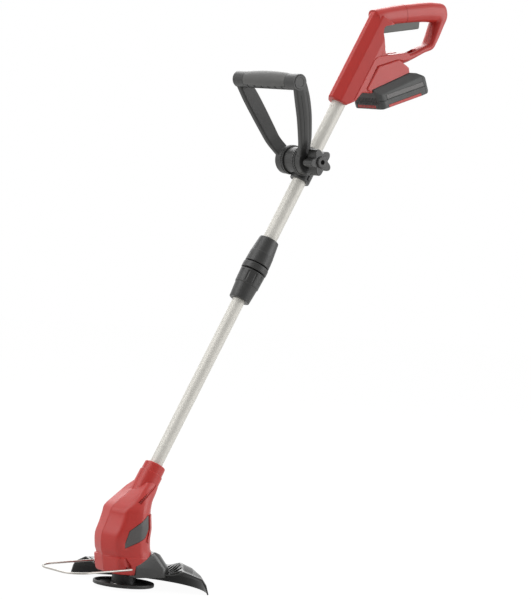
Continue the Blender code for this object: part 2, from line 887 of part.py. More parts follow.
def makeSleeve():
    bore = upperTubeRadius + gap
    lowBore = lowerTubeRadius + slideGap
    top = sleeveTopZ
    seat = top - upperTubeInSleeve - gap
    ringTop = top - sleeveBodyLength - sleeveGroove
    ringBottom = ringTop - sleeveRingLength
    nutTop = ringBottom - sleeveGroove
    threadRadius = sleeveTopRadius - 0.0022
    threadEnd = nutTop - 0.020
    body = turned("sleeve_body", shaft, [
        (bore, top), (sleeveTopRadius - 0.0015, top), (sleeveTopRadius, top - 0.0015),
        (sleeveTopRadius + 0.0032, top - 0.028), (sleeveBodyRadius - 0.0010, top - 0.029),
        (sleeveBodyRadius, top - sleeveBodyLength + 0.001), (sleeveBodyRadius - 0.001, top - sleeveBodyLength),
        (threadRadius, top - sleeveBodyLength), (threadRadius, threadEnd), (lowBore, threadEnd),
        (lowBore, seat), (bore, seat), (bore, top)], darkPlastic)
    smooth(body)
    ring = turned("sleeve_ring", shaft, [
        (threadRadius + gap, ringTop), (sleeveRingRadius - 0.001, ringTop), (sleeveRingRadius, ringTop - 0.001),
        (sleeveRingRadius, ringBottom + 0.001), (sleeveRingRadius - 0.001, ringBottom),
        (threadRadius + gap, ringBottom), (threadRadius + gap, ringTop)], darkPlastic)
    smooth(ring)
    end = sleeveBottomZ
    nut = turned("sleeve_nut", shaft, [
        (threadRadius + slideGap, nutTop), (sleeveBodyRadius - 0.001, nutTop), (sleeveBodyRadius, nutTop - 0.001),
        (sleeveBodyRadius - 0.0008, nutTop - nutStepDrop), (nutEndRadius + 0.0020, nutTop - nutStepDrop - 0.0012),
        (nutEndRadius, end + 0.0015), (nutEndRadius - 0.0015, end), (lowBore, end),
        (lowBore, threadEnd - 0.0015), (threadRadius + slideGap, threadEnd - 0.0015),
        (threadRadius + slideGap, nutTop)], darkPlastic)
    grooved(nut, shaft, sleeveBodyRadius, nutTop - 0.022, nutTop - 0.004, 8)
    smooth(nut)


# Front handle

clampLow = clampZ - clampLength * 0.62
clampHigh = clampZ + clampLength * 0.38
lugInner = 0.0120
lugDepth = 0.0060
flatTop = 0.0090


def makeClampFront():
    """The front half shell with the pivot barrel and its two ratchet rings on each side."""
    front = rod("clamp_front", shaft, (0.0, 0.0, clampLow), (0.0, 0.0, clampHigh), clampOuterRadius, darkPlastic)
    centre = (-pivotForward, 0.0, clampZ)
    rings = []
    for side in (-1.0, 1.0):
        for outer in (clampHalfWidth, clampHalfWidth - ringThickness - 0.0010):
            rings.append(rod("ring", shaft, (-pivotForward, side * (outer - ringThickness), clampZ),
                             (-pivotForward, side * outer, clampZ), ringRadius))
    barrel = turned("barrel", shaft, [(0.0, clampHalfWidth - 0.0005), (barrelRadius - 0.0010, clampHalfWidth - 0.0005),
                                      (barrelRadius - 0.0010, ringFoot), (barrelRadius, ringFoot), (barrelRadius, -ringFoot),
                                      (barrelRadius - 0.0010, -ringFoot), (barrelRadius - 0.0010, 0.0005 - clampHalfWidth),
                                      (0.0, 0.0005 - clampHalfWidth)], None, turnSteps, centre, sideways)
    block = box("block", shaft, (-pivotForward - 0.0040, -flatTop, clampZ), (-0.0060, flatTop, clampZ + barrelRadius + 0.0025))
    join(front, barrel, block, *rings)
    cut(front, box("rear_side", shaft, (-gap / 2, -0.2, clampLow - 0.1), (0.2, 0.2, clampHigh + 0.1)),
        rod("bore", shaft, (0.0, 0.0, clampLow - 0.1), (0.0, 0.0, clampHigh + 0.1), upperTubeRadius + gap),
        rod("bolt_hole", shaft, (-pivotForward, -0.2, clampZ), (-pivotForward, 0.2, clampZ), boltRadius + gap, steps=12))
    return smooth(front)


def makeClampRear():
    """The rear half shell with a lug down each side."""
    rear = rod("clamp_rear", shaft, (0.0, 0.0, clampLow), (0.0, 0.0, clampHigh), clampOuterRadius, darkPlastic)
    lugs = []
    for side in (-1.0, 1.0):
        near, far = sorted((side * lugInner, side * clampHalfWidth))
        lugs.append(box("lug", shaft, (0.0, near, clampLow + 0.004), (lugDepth, far, clampHigh - 0.004)))
    join(rear, *lugs)
    cut(rear, box("front_side", shaft, (-0.2, -0.2, clampLow - 0.1), (gap / 2, 0.2, clampHigh + 0.1)),
        rod("bore", shaft, (0.0, 0.0, clampLow - 0.1), (0.0, 0.0, clampHigh + 0.1), upperTubeRadius + gap))
    return smooth(rear)


def armStations():
    """Height, middle of the arm's depth, y of the outer face and depth, from the pivot to the bar."""
    inner = clampHalfWidth + gap
    return [(-0.0050, 0.0000, inner + 0.0117, 0.0300), (0.0120, -0.0030, inner + 0.0120, 0.0280),
            (0.0240, -0.0060, inner + 0.0190, 0.0262), (0.0400, -0.0070, handleHalfWidth * 0.635, 0.0260),
            (0.0600, -0.0055, handleHalfWidth * 0.735, 0.0280), (0.0900, -0.0030, handleHalfWidth * 0.845, 0.0300),
            (0.1200, -0.0005, handleHalfWidth * 0.925, 0.0300),
            (handleReach - barRadius * 0.6, 0.0015, handleHalfWidth - 0.0012, 0.0260)]


def armSolid(side):
    """One bowed arm, with a low ridge along its outer face."""
    rings = []
    for height, middle, outer, depth in armStations():
        inner = outer - armThickness
        half = depth / 2
        corners = rounded([(middle - half, inner, 0.0030), (middle + half, inner, 0.0030), (middle + half, outer, 0.0030),
                           (middle, outer + armRidge), (middle - half, outer, 0.0030)], 1)
        rings.append([Vector((point.x, side * point.y, height)) for point in corners])
    return loft("arm", handle, rings)


def makeHandle():
    """The D-shaped frame in its pivot's frame: Z towards the bar."""
    inner = clampHalfWidth + gap
    end = handleHalfWidth - 0.001
    frame = armSolid(-1.0)
    frame.name = "front_handle_frame"
    frame.data.materials.append(darkPlastic)
    solids = [armSolid(1.0), rod("bar", handle, (0.0, -end, handleReach), (0.0, end, handleReach), barRadius)]
    rooms = [rod("hole", handle, (0.0, -0.2, 0.0), (0.0, 0.2, 0.0), boltRadius + gap, steps=12)]
    for side in (-1.0, 1.0):
        solids.append(rod("eye", handle, (0.0, side * inner, 0.0), (0.0, side * (knobSeat - gap), 0.0), ringRadius - 0.001, steps=turnSteps))
        rooms.append(rod("seat", handle, (0.0, side * (handleHalfWidth - capDepth - gap), handleReach),
                         (0.0, side * 0.2, handleReach), capRadius + gap))
    join(frame, *solids)
    return cut(frame, *rooms)


insertHalf = 0.0560
insertProud = 0.0026
insertDepth = 0.0022
insertFloor = 0.0020
slotCount = 6
slotPitch = 0.0185
slotHalf = 0.0013


def insertSolid(name, extra, material=None):
    """The soft cover on the upper half of the bar, crowned at the middle, or the room for it."""
    end = insertHalf + extra
    crown = [(barRadius, end), (barRadius + insertProud * 0.7, end / 2), (barRadius + insertProud, 0.0),
             (barRadius + insertProud * 0.7, -end / 2), (barRadius, -end)]
    room = [(barRadius + 0.01, end), (barRadius + 0.01, -end)]
    cover = turned(name, handle, [(0.0, end), *(room if extra else crown), (0.0, -end)], material, turnSteps,
                   (0.0, 0.0, handleReach), sideways)
    cut(cover, box("under", handle, (-0.2, -0.2, -0.2), (0.2, 0.2, handleReach - insertFloor - extra)),
        rod("core", handle, (0.0, -0.2, handleReach), (0.0, 0.2, handleReach), barRadius - insertDepth - extra))
    return cover


def finishHandle(frame):
    slots = []
    for index in range(slotCount):
        y = (index - (slotCount - 1) / 2) * slotPitch
        slots.append(box("slot", handle, (-barRadius - 0.004, y - slotHalf, handleReach - 0.0100),
                         (-barRadius + 0.0050, y + slotHalf, handleReach - 0.0035)))
    cut(frame, insertSolid("seat", gap), *slots)
    smooth(frame)
    smooth(insertSolid("front_handle_grip", 0.0, softGrip))
    for side, name in ((-1.0, "handle_cap_left"), (1.0, "handle_cap_right")):
        smooth(turned(name, handle, [(0.0, 0.0), (capRadius - 0.001, 0.0), (capRadius, -0.001), (capRadius, -capDepth),
                                     (0.0, -capDepth)], darkPlastic, turnSteps,
                      (0.0, side * handleHalfWidth, handleReach), (-side * math.pi / 2, 0.0, 0.0)))


def knobOutline():
    """Five round lobes joined by hollow flanks, as one closed line."""
    points = []
    for index in range(knobLobes):
        middle = knobFirstLobe + 2 * math.pi * index / knobLobes
        for turn in (-95.0, -32.0, 32.0, 95.0):
            angle = middle + math.radians(turn)
            points.append((knobLobeAt * math.cos(middle) + knobLobeRadius * math.cos(angle),
                           knobLobeAt * math.sin(middle) + knobLobeRadius * math.sin(angle)))
        valley = middle + math.pi / knobLobes
        points.append((knobValleyRadius * math.cos(valley), knobValleyRadius * math.sin(valley)))
    return points


def makeBoltAndKnob():
    nutEnd = knobSeat + knobStandOff + knobDepth - 0.0050
    smooth(turned("clamp_bolt", handle, [
        (0.0, knobSeat + boltHeadHeight), (boltHeadRadius, knobSeat + boltHeadHeight), (boltHeadRadius, knobSeat),
        (boltRadius, knobSeat), (boltRadius, -nutEnd), (0.0, -nutEnd)], steel, 12, (0.0, 0.0, 0.0), sideways))
    near = knobSeat + knobStandOff
    far = near + knobDepth
    knob = plate("clamp_knob", handle, knobOutline(), knobDepth / 2, darkPlastic, 0.0, -(near + far) / 2)
    bevelled(knob, knobEdge, 1)
    core = turned("core", handle, [(0.0, far + knobHubProud), (knobHubRadius - 0.001, far + knobHubProud),
                                   (knobHubRadius, far + knobHubProud - 0.001), (knobHubRadius, far - 0.002),
                                   (knobNeckRadius, near + 0.002), (knobNeckRadius, knobSeat), (0.0, knobSeat)],
                  None, 12, (0.0, 0.0, 0.0), (math.pi / 2, 0.0, 0.0))
    join(knob, core)
    cut(knob, rod("hole", handle, (0.0, 0.0, 0.0), (0.0, -0.2, 0.0), boltRadius + gap, steps=12))
    smooth(knob)


# Motor head

headStations = [
    # height, front at the seam, front crease (back, out), widest spot (back, out), rear at the seam
    (headBase, -0.0410, (-0.0340, 0.0300), (-0.0040, 0.0435), 0.0440),
    (0.0210, -0.0445, (-0.0385, 0.0340), (-0.0040, 0.0460), 0.0460),
    (0.0435, -0.0495, (-0.0425, 0.0365), (-0.0040, 0.0480), 0.0480),
    (0.0470, -0.0500, (-0.0375, 0.0340), (-0.0050, 0.0476), 0.0475),
    (0.0510, -0.0515, (-0.0400, 0.0340), (-0.0060, 0.0474), 0.0465),
    (0.0595, -0.0545, (-0.0455, 0.0330), (-0.0080, 0.0468), 0.0375),
    (0.0800, -0.0560, (-0.0470, 0.0335), (-0.0100, 0.0465), 0.0350),
    (0.0980, -0.0500, (-0.0400, 0.0345), (-0.0100, 0.0465), 0.0343),
    (0.1150, -0.0435, (-0.0350, 0.0348), (-0.0090, 0.0455), 0.0310),
    (0.1270, -0.0398, (-0.0320, 0.0345), (-0.0070, 0.0438), 0.0305),
    (0.1400, -0.0255, (-0.0180, 0.0325), (-0.0010, 0.0390), 0.0340),
    (0.1510, -0.0108, (-0.0060, 0.0292), (0.0050, 0.0330), 0.0420),
    (0.1610, 0.0026, (0.0040, 0.0255), (0.0120, 0.0270), 0.0480),
    (0.1670, 0.0106, (0.0108, 0.0222), (0.0180, 0.0235), 0.0490),
    (0.1715, 0.0150, (0.0155, 0.0190), (0.0220, 0.0205), 0.0490)]

creaseRound = 0.0070
backSteps = 4
collarBaseLift = 0.074
collarStepLift = 0.095
earProud = 0.0016
earFirst = 5
earLast = 10
cavityFirst = 2


def headRing(height, front, crease, widest, rear, inset):
    """A closed section: front ridge, flat facet, soft crease, side facet, rounded back."""
    ridge = Vector((front, 0.0))
    crease = Vector(crease)
    widest = Vector(widest)
    soft = min(creaseRound, (widest - crease).length * 0.4)
    toRidge = crease + (ridge - crease).normalized() * soft
    toSide = crease + (widest - crease).normalized() * soft
    push = (crease - (toRidge + toSide) / 2) * 0.5
    half = [ridge, toRidge + push * 0.6, crease + push * 0.2, toSide + push * 0.6]
    for step in range(backSteps):
        angle = math.pi / 2 * (1 - step / backSteps)
        half.append(Vector((widest.x + (rear - widest.x) * math.cos(angle), widest.y * math.sin(angle))))
    outline = [(point.x, -point.y) for point in half] + [(rear, 0.0)]
    outline += [(point.x, point.y) for point in reversed(half[1:])]
    return [Vector((x, y, height)) for x, y in insetOutline(outline, inset)]


def headSolid(inset, first=0, last=len(headStations)):
    rings = []
    for height, front, crease, widest, rear in headStations[first:last]:
        rings.append(headRing(height, front, crease, widest, rear, inset))
    return loft("head", head, rings)


def collarSolid():
    base = headRefZ + collarBaseLift - 0.022
    step = headRefZ + collarStepLift
    return turned("collar", shaft, [
        (0.0, collarTopZ), (0.0172, collarTopZ), (0.0186, collarTopZ - 0.0014), (0.0190, step + 0.001),
        (0.0204, step), (0.0208, base), (0.0, base)])


def earSolid():
    """The raised rim behind each badge."""
    outline = [(0.0105, 0.1190), (0.0135, 0.0945), (0.0080, 0.0745), (0.0140, 0.0710), (0.0225, 0.0940), (0.0190, 0.1210)]
    return common(headSolid(-earProud, earFirst, earLast), plate("rim", head, outline, 0.2))


def wedge(name, extra):
    """The lower rear corner of the head that the guard's block fills."""
    return plate(name, head, [(wedgeFront + extra, -0.02), (wedgeFront + extra, wedgeLow - extra),
                              (wedgeRear, wedgeHigh - extra), (0.0900, wedgeHigh - extra), (0.0900, -0.02)], 0.08)


headRibLevel = 0.1080

# Where the head's screws go in from the right: x, z and the head's place across
headScrews = [(-0.0360, 0.0560, 0.0320), (-0.0280, 0.1180, 0.0330), (0.0240, 0.1000, 0.0250)]

# The vent groove down each side of the top: x, half width and z
ventLine = [(0.0340, 0.0207, 0.1667), (0.0093, 0.0325, 0.1526), (-0.0100, 0.0365, 0.1377)]
ventRadius = 0.0024
ventLift = 0.0008
ventCells = 5
ventCellRadius = 0.0012
ventCellPitch = 0.0056

# The hollow in each side that the wire's end turns in: x and z
wireHollow = [(-0.0190, 0.0260), (-0.0190, 0.0330), (-0.0308, 0.0475), (-0.0340, 0.0440), (-0.0290, 0.0260)]
hollowHalf = 0.0385
hollowBack = 0.0040


def headCavity():
    """What the shells leave empty above the solid base, less a rib, posts and bosses."""
    kept = [wedge("wedge_wall", -wall), box("hollow_wall", head, (-0.0360, -0.2, 0.0), (-0.0170, 0.2, 0.0500)),
            box("rib", head, (-0.2, -0.2, headRibLevel), (0.2, 0.2, headRibLevel + ribThickness))]
    for side in (-1.0, 1.0):
        top = guardScrewSeat + guardScrewLength + bossRadius
        kept.append(rod("post", head, (guardScrewX, side * guardScrewHalf, 0.0), (guardScrewX, side * guardScrewHalf, top),
                        bossRadius, steps=smallSteps))
    for x, z, y in headScrews:
        kept.append(rod("boss", head, (x, -0.2, z), (x, 0.2, z), bossRadius, steps=smallSteps))
    return cut(headSolid(wall, cavityFirst, -1), *kept)


def ventCutters(side):
    """The groove and, down its lower part, a row of cells right through the shell."""
    line = [Vector((x, side * (y + ventLift), z)) for x, y, z in ventLine]
    cutters = [rod("groove", head, a, b, ventRadius, None, 8) for a, b in zip(line, line[1:])]
    up = [line[2], line[1], line[0]]
    for index in range(ventCells):
        reach = ventCellPitch * (index + 0.7)
        first = (up[1] - up[0]).length
        if reach < first:
            spot = up[0].lerp(up[1], reach / first)
        else:
            spot = up[1].lerp(up[2], (reach - first) / (up[2] - up[1]).length)
        cutters.append(rod("cell", head, spot, (spot.x, spot.y - side * 2.2 * wall, spot.z), ventCellRadius, None, 5))
    return cutters


def makeHeadShells():
    corner = wedge("corner", 0.0)
    cut(corner, rod("core", head, (0.0, 0.0, -0.1), (0.0, 0.0, 0.2), spigotRadius, steps=24))
    cutters = [headCavity(), corner, badgeBlank("badge_seat", gap), turned("motor_room", head, motorProfile(gap), None, 20),
               rod("tube_room", shaft, (0.0, 0.0, collarTopZ - lowerTubeInHead), (0.0, 0.0, collarTopZ + 0.1), lowerTubeRadius + gap)]
    for side in (-1.0, 1.0):
        cutters += ventCutters(side)
        hollow = sorted((side * hollowHalf, side * 0.1))
        cutters.append(plate("hollow", head, wireHollow, (hollow[1] - hollow[0]) / 2, None, 0.0, sum(hollow) / 2))
        cutters.append(rod("pivot_hole", head, (bailPivotX, side * (bailHalf - bailEnd - gap), bailPivotZ),
                           (bailPivotX, side * 0.2, bailPivotZ), bailWireRadius + gap, steps=smallSteps))
        cutters.append(guardScrew("screw_room", side, gap, 0.0300))
    cutters += [screwRoom(head, x, z, y) for x, z, y in headScrews]
    outer = join(headSolid(0.0), collarSolid(), earSolid())
    halves(outer, ("head_shell_left", "head_shell_right"), head, red, cutters)
    for index, (x, z, y) in enumerate(headScrews):
        screwAt("head_screw_%d" % (index + 1), head, x, z, y)


def motorProfile(extra):
    """The room for the motor, the bearing and the spindle, top to bottom."""
    return [(0.0, motorTop + 0.0085 + extra), (0.0080 + extra, motorTop + 0.0085 + extra),
            (0.0080 + extra, motorTop + 0.0060), (motorRadius + extra, motorTop + 0.0060),
            (motorRadius + extra, motorBottom - extra), (0.0070 + extra, motorBottom - extra),
            (0.0070 + extra, bearingBottom + bearingHeight + extra), (bearingRadius + extra, bearingBottom + bearingHeight + extra),
            (bearingRadius + extra, bearingBottom - extra), (0.0065, bearingBottom - extra), (0.0065, -0.01), (0.0, -0.01)]


badgeOutline = [
    # x, z and corner radius
    (-0.0330, 0.0620, 0.002), (0.0015, 0.0775, 0.004), (0.0105, 0.0945), (0.0080, 0.1190, 0.002), (-0.0270, 0.0990, 0.006)]
badgeThickness = 0.0016


def badgeBlank(name, extra):
    """The outline of the pad on the left of the head, as a prism."""
    return plate(name, head, insetOutline(badgeOutline, -extra), 0.0200, None, 0.0, -0.0580)


def makeBadge():
    """A bare pad that follows the side of the head."""
    pad = headSolid(0.0)
    pad.name = "head_badge"
    common(pad, badgeBlank("badge", 0.0))
    cut(pad, headSolid(badgeThickness))
    pad.data.materials.clear()
    pad.data.materials.append(labelGrey)
    return smooth(pad)


def makeMotor():
    low = motorBottom
    high = motorTop
    bore = shaftRadius + runGap
    seat = bearingBottom + bearingHeight
    smooth(turned("motor_can", head, [
        (motorRadius, high), (motorRadius, low + 0.001), (motorRadius - 0.001, low), (0.0065, low), (0.0065, low - 0.0030),
        (bore, low - 0.0030), (bore, low + motorWall), (motorRadius - motorMagnet, low + motorWall),
        (motorRadius - motorMagnet, high), (motorRadius, high)], steel, 16))
    smooth(turned("motor_end_bell", head, [
        (0.0, high + bellHeight), (bellNoseRadius, high + bellHeight), (bellNoseRadius, high + 0.0040),
        (motorRadius, high + 0.0040), (motorRadius, high + gap), (bore, high + gap), (bore, high + bellHeight - 0.0020),
        (0.0, high + bellHeight - 0.0020)], darkPlastic, 16))
    smooth(turned("spindle", head, [
        (0.0, high + 0.0060), (shaftRadius, high + 0.0060), (shaftRadius, seat + 0.0010), (spindleRadius, seat + 0.0010),
        (spindleRadius, bearingBottom - 0.0006), (collarRadius, bearingBottom - 0.0006), (collarRadius, discHubTop + gap),
        (spindleRadius, discHubTop + gap), (spindleRadius, discBoreFloor + gap), (0.0, discBoreFloor + gap)], steel, 12))
    smooth(turned("motor_rotor", head, [
        (shaftRadius + gap / 2, high - 0.010), (rotorRadius, high - 0.010), (rotorRadius, low + 0.012),
        (shaftRadius + gap / 2, low + 0.012), (shaftRadius + gap / 2, high - 0.010)], copper, 12))
    smooth(turned("spindle_bearing", head, [
        (spindleRadius + gap / 2, seat), (bearingRadius, seat), (bearingRadius, bearingBottom),
        (spindleRadius + gap / 2, bearingBottom), (spindleRadius + gap / 2, seat)], steel, 16))


def makeDisc():
    """A dished disc with a flat floor, a rolled rim, a hub and the blade's pin."""
    floor = discUnderside + discWall
    disc = turned("cutter_disc", head, [
        (spindleRadius + gap, discHubTop), (discHubRadius - 0.001, discHubTop), (discHubRadius, discHubTop - 0.001),
        (discHubRadius + 0.0010, floor + 0.0020), (discHubRadius + 0.0025, floor), (discRadius - 0.0065, floor),
        (discRadius - 0.0030, discRimTop), (discRadius - 0.0010, discRimTop), (discRadius, discRimTop - 0.0012),
        (discRadius, discRimBottom + 0.0010), (discRadius - 0.0025, discRimBottom - 0.0004),
        (discRadius - 0.0160, discUnderside), (0.0, discUnderside), (0.0, discBoreFloor), (spindleRadius + gap, discBoreFloor),
        (spindleRadius + gap, discHubTop)], darkPlastic, 20)
    x = pinDistance * math.cos(pinAngle)
    y = pinDistance * math.sin(pinAngle)
    join(disc, rod("boss", head, (x, y, floor - 0.001), (x, y, floor + 0.0025), pinRadius + 0.0025, steps=smallSteps))
    cut(disc, rod("hole", head, (x, y, discUnderside + pinFloor - gap), (x, y, 0.05), pinRadius + gap, steps=smallSteps))
    smooth(disc)
    smooth(turned("blade_pin", head, [
        (0.0, pinHeight), (pinRadius - 0.0006, pinHeight), (pinRadius, pinHeight - 0.0006), (pinRadius, pinFloor),
        (0.0, pinFloor)], steel, 12, (x, y, discUnderside)))


# The guard's section by azimuth in degrees: ridge, knee and shoulder as radius and height
guardStations = [
    (-40.0, (0.0990, 0.0255), (0.1130, 0.0215), (0.1330, 0.0155)),
    (-30.0, (0.0985, 0.0330), (0.1165, 0.0262), (0.1310, 0.0190)),
    (-20.0, (0.0980, 0.0385), (0.1195, 0.0300), (0.1290, 0.0215)),
    (-8.0, (0.0985, 0.0335), (0.1170, 0.0262), (0.1310, 0.0185)),
    (3.0, (0.0990, 0.0275), (0.1150, 0.0220), (0.1340, 0.0155)),
    (95.0, (0.1080, 0.0265), (0.1180, 0.0220), (0.1350, 0.0140))]
guardBlur = 4.0


def stationAt(azimuth):
    """The ridge, knee and shoulder between two stations."""
    azimuth = min(max(azimuth, guardStations[0][0]), guardStations[-1][0])
    for one, two in zip(guardStations, guardStations[1:]):
        if azimuth <= two[0]:
            share = (azimuth - one[0]) / (two[0] - one[0])
            return [Vector(a).lerp(Vector(b), share) for a, b in zip(one[1:], two[1:])]


def guardLine(azimuth):
    """The guard's outer line from the spigot to its skirt, eased along the rim."""
    spots = [stationAt(azimuth + turn) for turn in (-guardBlur, 0.0, guardBlur)]
    ridge, knee, shoulder = [sum(group, Vector((0.0, 0.0))) / len(group) for group in zip(*spots)]
    return [Vector((spigotRadius + gap, guardPlateTop)), Vector((guardPlateRadius, guardPlateTop + guardPlateRise)), ridge, knee,
            shoulder, Vector((guardLipRadius, guardLipTop)), Vector((guardRadius, guardSkirtBottom))]


def thickened(line, thickness):
    """A closed outline made of an open line and its parallel on the lower side."""
    under = []
    for index, here in enumerate(line):
        before = (here - line[index - 1]).normalized() if index else Vector((0.0, 0.0))
        after = (line[index + 1] - here).normalized() if index + 1 < len(line) else Vector((0.0, 0.0))
        heading = (before + after).normalized()
        segment = after if after.length else before
        under.append(here + Vector((heading.y, -heading.x)) * thickness / max(heading.dot(segment), 0.5))
    return line + under[::-1]


def guardSection(azimuth):
    angle = math.radians(azimuth)
    outline = thickened(guardLine(azimuth), guardWall)
    return [Vector((point.x * math.cos(angle), point.x * math.sin(angle), point.y)) for point in outline]


def guardRib(azimuth):
    """A low gusset in the hollow between the plate and the ridge."""
    start, edge, ridge = guardLine(azimuth)[:3]
    inner = start.lerp(edge, 0.86)
    outer = edge.lerp(ridge, 0.90)
    rib = plate("rib", head, [(inner.x, inner.y - 0.0012), (edge.x, edge.y - 0.0014), (outer.x, outer.y - 0.0014),
                              (outer.x, outer.y + 0.0004), (edge.x - 0.0005, edge.y + 0.0026), (inner.x, inner.y + 0.0002)],
                guardRibHalf)
    rib.rotation_euler = (0.0, 0.0, math.radians(azimuth))
    return rib


# The guard's block by height: how far back and how wide
blockLevels = [(guardPlateTop - guardWall, 0.0760, 0.0465), (0.0290, 0.0720, 0.0460), (0.0500, 0.0540, 0.0440),
               (wedgeHigh + 0.0010, 0.0460, 0.0430)]
blockFront = -0.0400
blockCorner = 0.0280


def blockSolid():
    """The block that fills the head's lower rear corner, narrowing towards its top."""
    rings = []
    for height, rear, half in blockLevels:
        corners = rounded([(blockFront, -half), (rear, -half, blockCorner), (rear, half, blockCorner), (blockFront, half)])
        rings.append([Vector((point.x, point.y, height)) for point in corners])
    block = common(loft("block", head, rings), wedge("corner", gap))
    over = plate("over", head, [(wedgeRear + 0.0035, wedgeHigh + 0.0004), (0.0900, 0.0380), (0.0900, 0.0800),
                                (wedgeRear + 0.0035, 0.0800)], 0.2)
    return bevelled(cut(block, over), 0.0012, 1, 50.0)


def makeGuard():
    angles = [guardFrom + (guardTo - guardFrom) * index / guardSectionCount for index in range(guardSectionCount + 1)]
    guard = loft("guard", head, [guardSection(angle) for angle in angles], darkPlastic)
    ribPitch = (guardTo - guardFrom) / guardRibCount
    join(guard, blockSolid(), *[guardRib(guardFrom + ribPitch * (index + 0.5)) for index in range(guardRibCount)])
    cut(guard, rod("core", head, (0.0, 0.0, -0.1), (0.0, 0.0, 0.2), spigotRadius + gap, steps=24),
        *[guardScrew("screw_room", side, gap, 0.0300) for side in (-1.0, 1.0)])
    return smooth(guard)


def guardScrew(name, side, extra, reach):
    """A screw from below through the guard's block into the head, or the room for one."""
    return turned(name, head, [
        (0.0, guardScrewLength + extra), (screwRadius + extra, guardScrewLength + extra), (screwRadius + extra, extra),
        (screwHeadRadius + extra, extra), (screwHeadRadius + extra, -reach), (0.0, -reach)],
        steel, 8, (guardScrewX, side * guardScrewHalf, guardScrewSeat))


def makeGuardScrews():
    for index, side in enumerate((-1.0, 1.0)):
        smooth(guardScrew("guard_screw_%d" % (index + 1), side, 0.0, screwHeadHeight))


def makeBail():
    """A U of wire whose bent ends turn in the sides of the head."""
    slope = bailDrop / bailReach
    front = -bailReach
    side = [(0.0, bailEnd - bailHalf), (0.0, 0.0030 - bailHalf), (-0.0010, 0.0009 - bailHalf), (-0.0030, -bailHalf),
            ((front + bailCorner) / 2, -bailHalf)]
    for index in range(bailCornerSteps + 1):
        angle = math.pi / 2 * index / bailCornerSteps
        side.append((front + bailCorner - bailCorner * math.sin(angle), bailCorner - bailHalf - bailCorner * math.cos(angle)))
    outline = side + [(x, -y) for x, y in reversed(side)]
    points = [(bailPivotX + x, y, bailPivotZ + slope * x) for x, y in outline]
    return smooth(wire("wire_bail", head, points, bailWireRadius, wireWhite, 1))


# Battery pack, in the dock's frame

packRear = packFront + packLength
packSeam = -packFrontDepth + packSplit


def packOutline():
    """Side outline of the closed pack, with x and z of each corner and its radius."""
    return [(packFront, 0.0040 - packFrontDepth, 0.003), (packFront + 0.006, -packFrontDepth - 0.0008, 0.004),
            (packRear - 0.0200, -packRearDepth, 0.004), (packRear - 0.0060, 0.0010 - packRearDepth, 0.003),
            (packRear - 0.0020, 0.0060 - packRearDepth, 0.003), (packRear, -0.0210, 0.004),
            (packRear - 0.0060, -0.0130, 0.004), (packRear - 0.0150, -0.0050, 0.003), (packRear - 0.0260, -slideGap, 0.003),
            (packFront, -slideGap, 0.002)]


def slopedBand(x0, x1, low, high):
    """Four corners of a band that runs with the pack's sloping bottom."""
    drop0 = packSlope * (x0 - packFront)
    drop1 = packSlope * (x1 - packFront)
    return [(x0, low - drop0), (x1, low - drop1), (x1, high - drop1), (x0, high - drop0)]


def packSlab(low, high):
    return plate("slab", dock, slopedBand(packFront - 0.2, packRear + 0.2, low, high), 0.2)


def packBody():
    """The closed outer form, its front corners rounded wide."""
    body = plate("battery_lower_case", dock, packOutline(), packHalf, packGrey, 0.0)
    bevelled(body, 0.0024, 1)
    corners = rounded([(packFront, -packHalf, frontCorner), (packRear + 0.1, -packHalf), (packRear + 0.1, packHalf),
                       (packFront, packHalf, frontCorner)])
    return common(body, plate("plan", dock, [(point.x, point.y) for point in corners], 0.2, flat=True))


def cellSpots():
    """The middle of each cell, one row that runs with the pack's bottom."""
    spots = []
    for index in range(cellCount):
        x = packFront + cellStart + cellPitch * index
        spots.append((x, -packFrontDepth * 0.5 - 0.0025 - packSlope * (x - packFront)))
    return spots


def packInside():
    """The room for the cells, less a rib down the middle and the walls of the button's pocket."""
    room = plate("room", dock, insetOutline(packOutline(), packWall), packHalf - packWall)
    common(room, packSlab(-0.2, -0.0035))
    return cut(room, box("rib", dock, (-0.2, -0.0012, -0.2), (0.4, 0.0012, 0.2)),
               box("front_wall", dock, (-0.2, -0.2, -0.2), (packFront + frontCorner * 0.5, 0.2, 0.2)),
               box("pocket_walls", dock, (packRear - latchDepth - packWall, -latchHalf - 0.003, latchLow - 0.003),
                   (0.4, latchHalf + 0.003, latchHigh + 0.003)))


def railSolid():
    """The rail on top of the pack that hooks into the foot, slit for the contact blades."""
    end = railStart + railLength
    rail = box("rail", dock, (railStart, -railNeckHalf, -0.004), (end, railNeckHalf, railHeight))
    join(rail, box("lip", dock, (railStart, -railLipHalf, railHeight - railLip), (end, railLipHalf, railHeight)))
    slits = [box("slit", dock, (0.0, y - 0.0012, 0.0015), (bladeTo + 0.0015, y + 0.0012, 0.05)) for y in bladeRows()]
    return cut(rail, *slits)


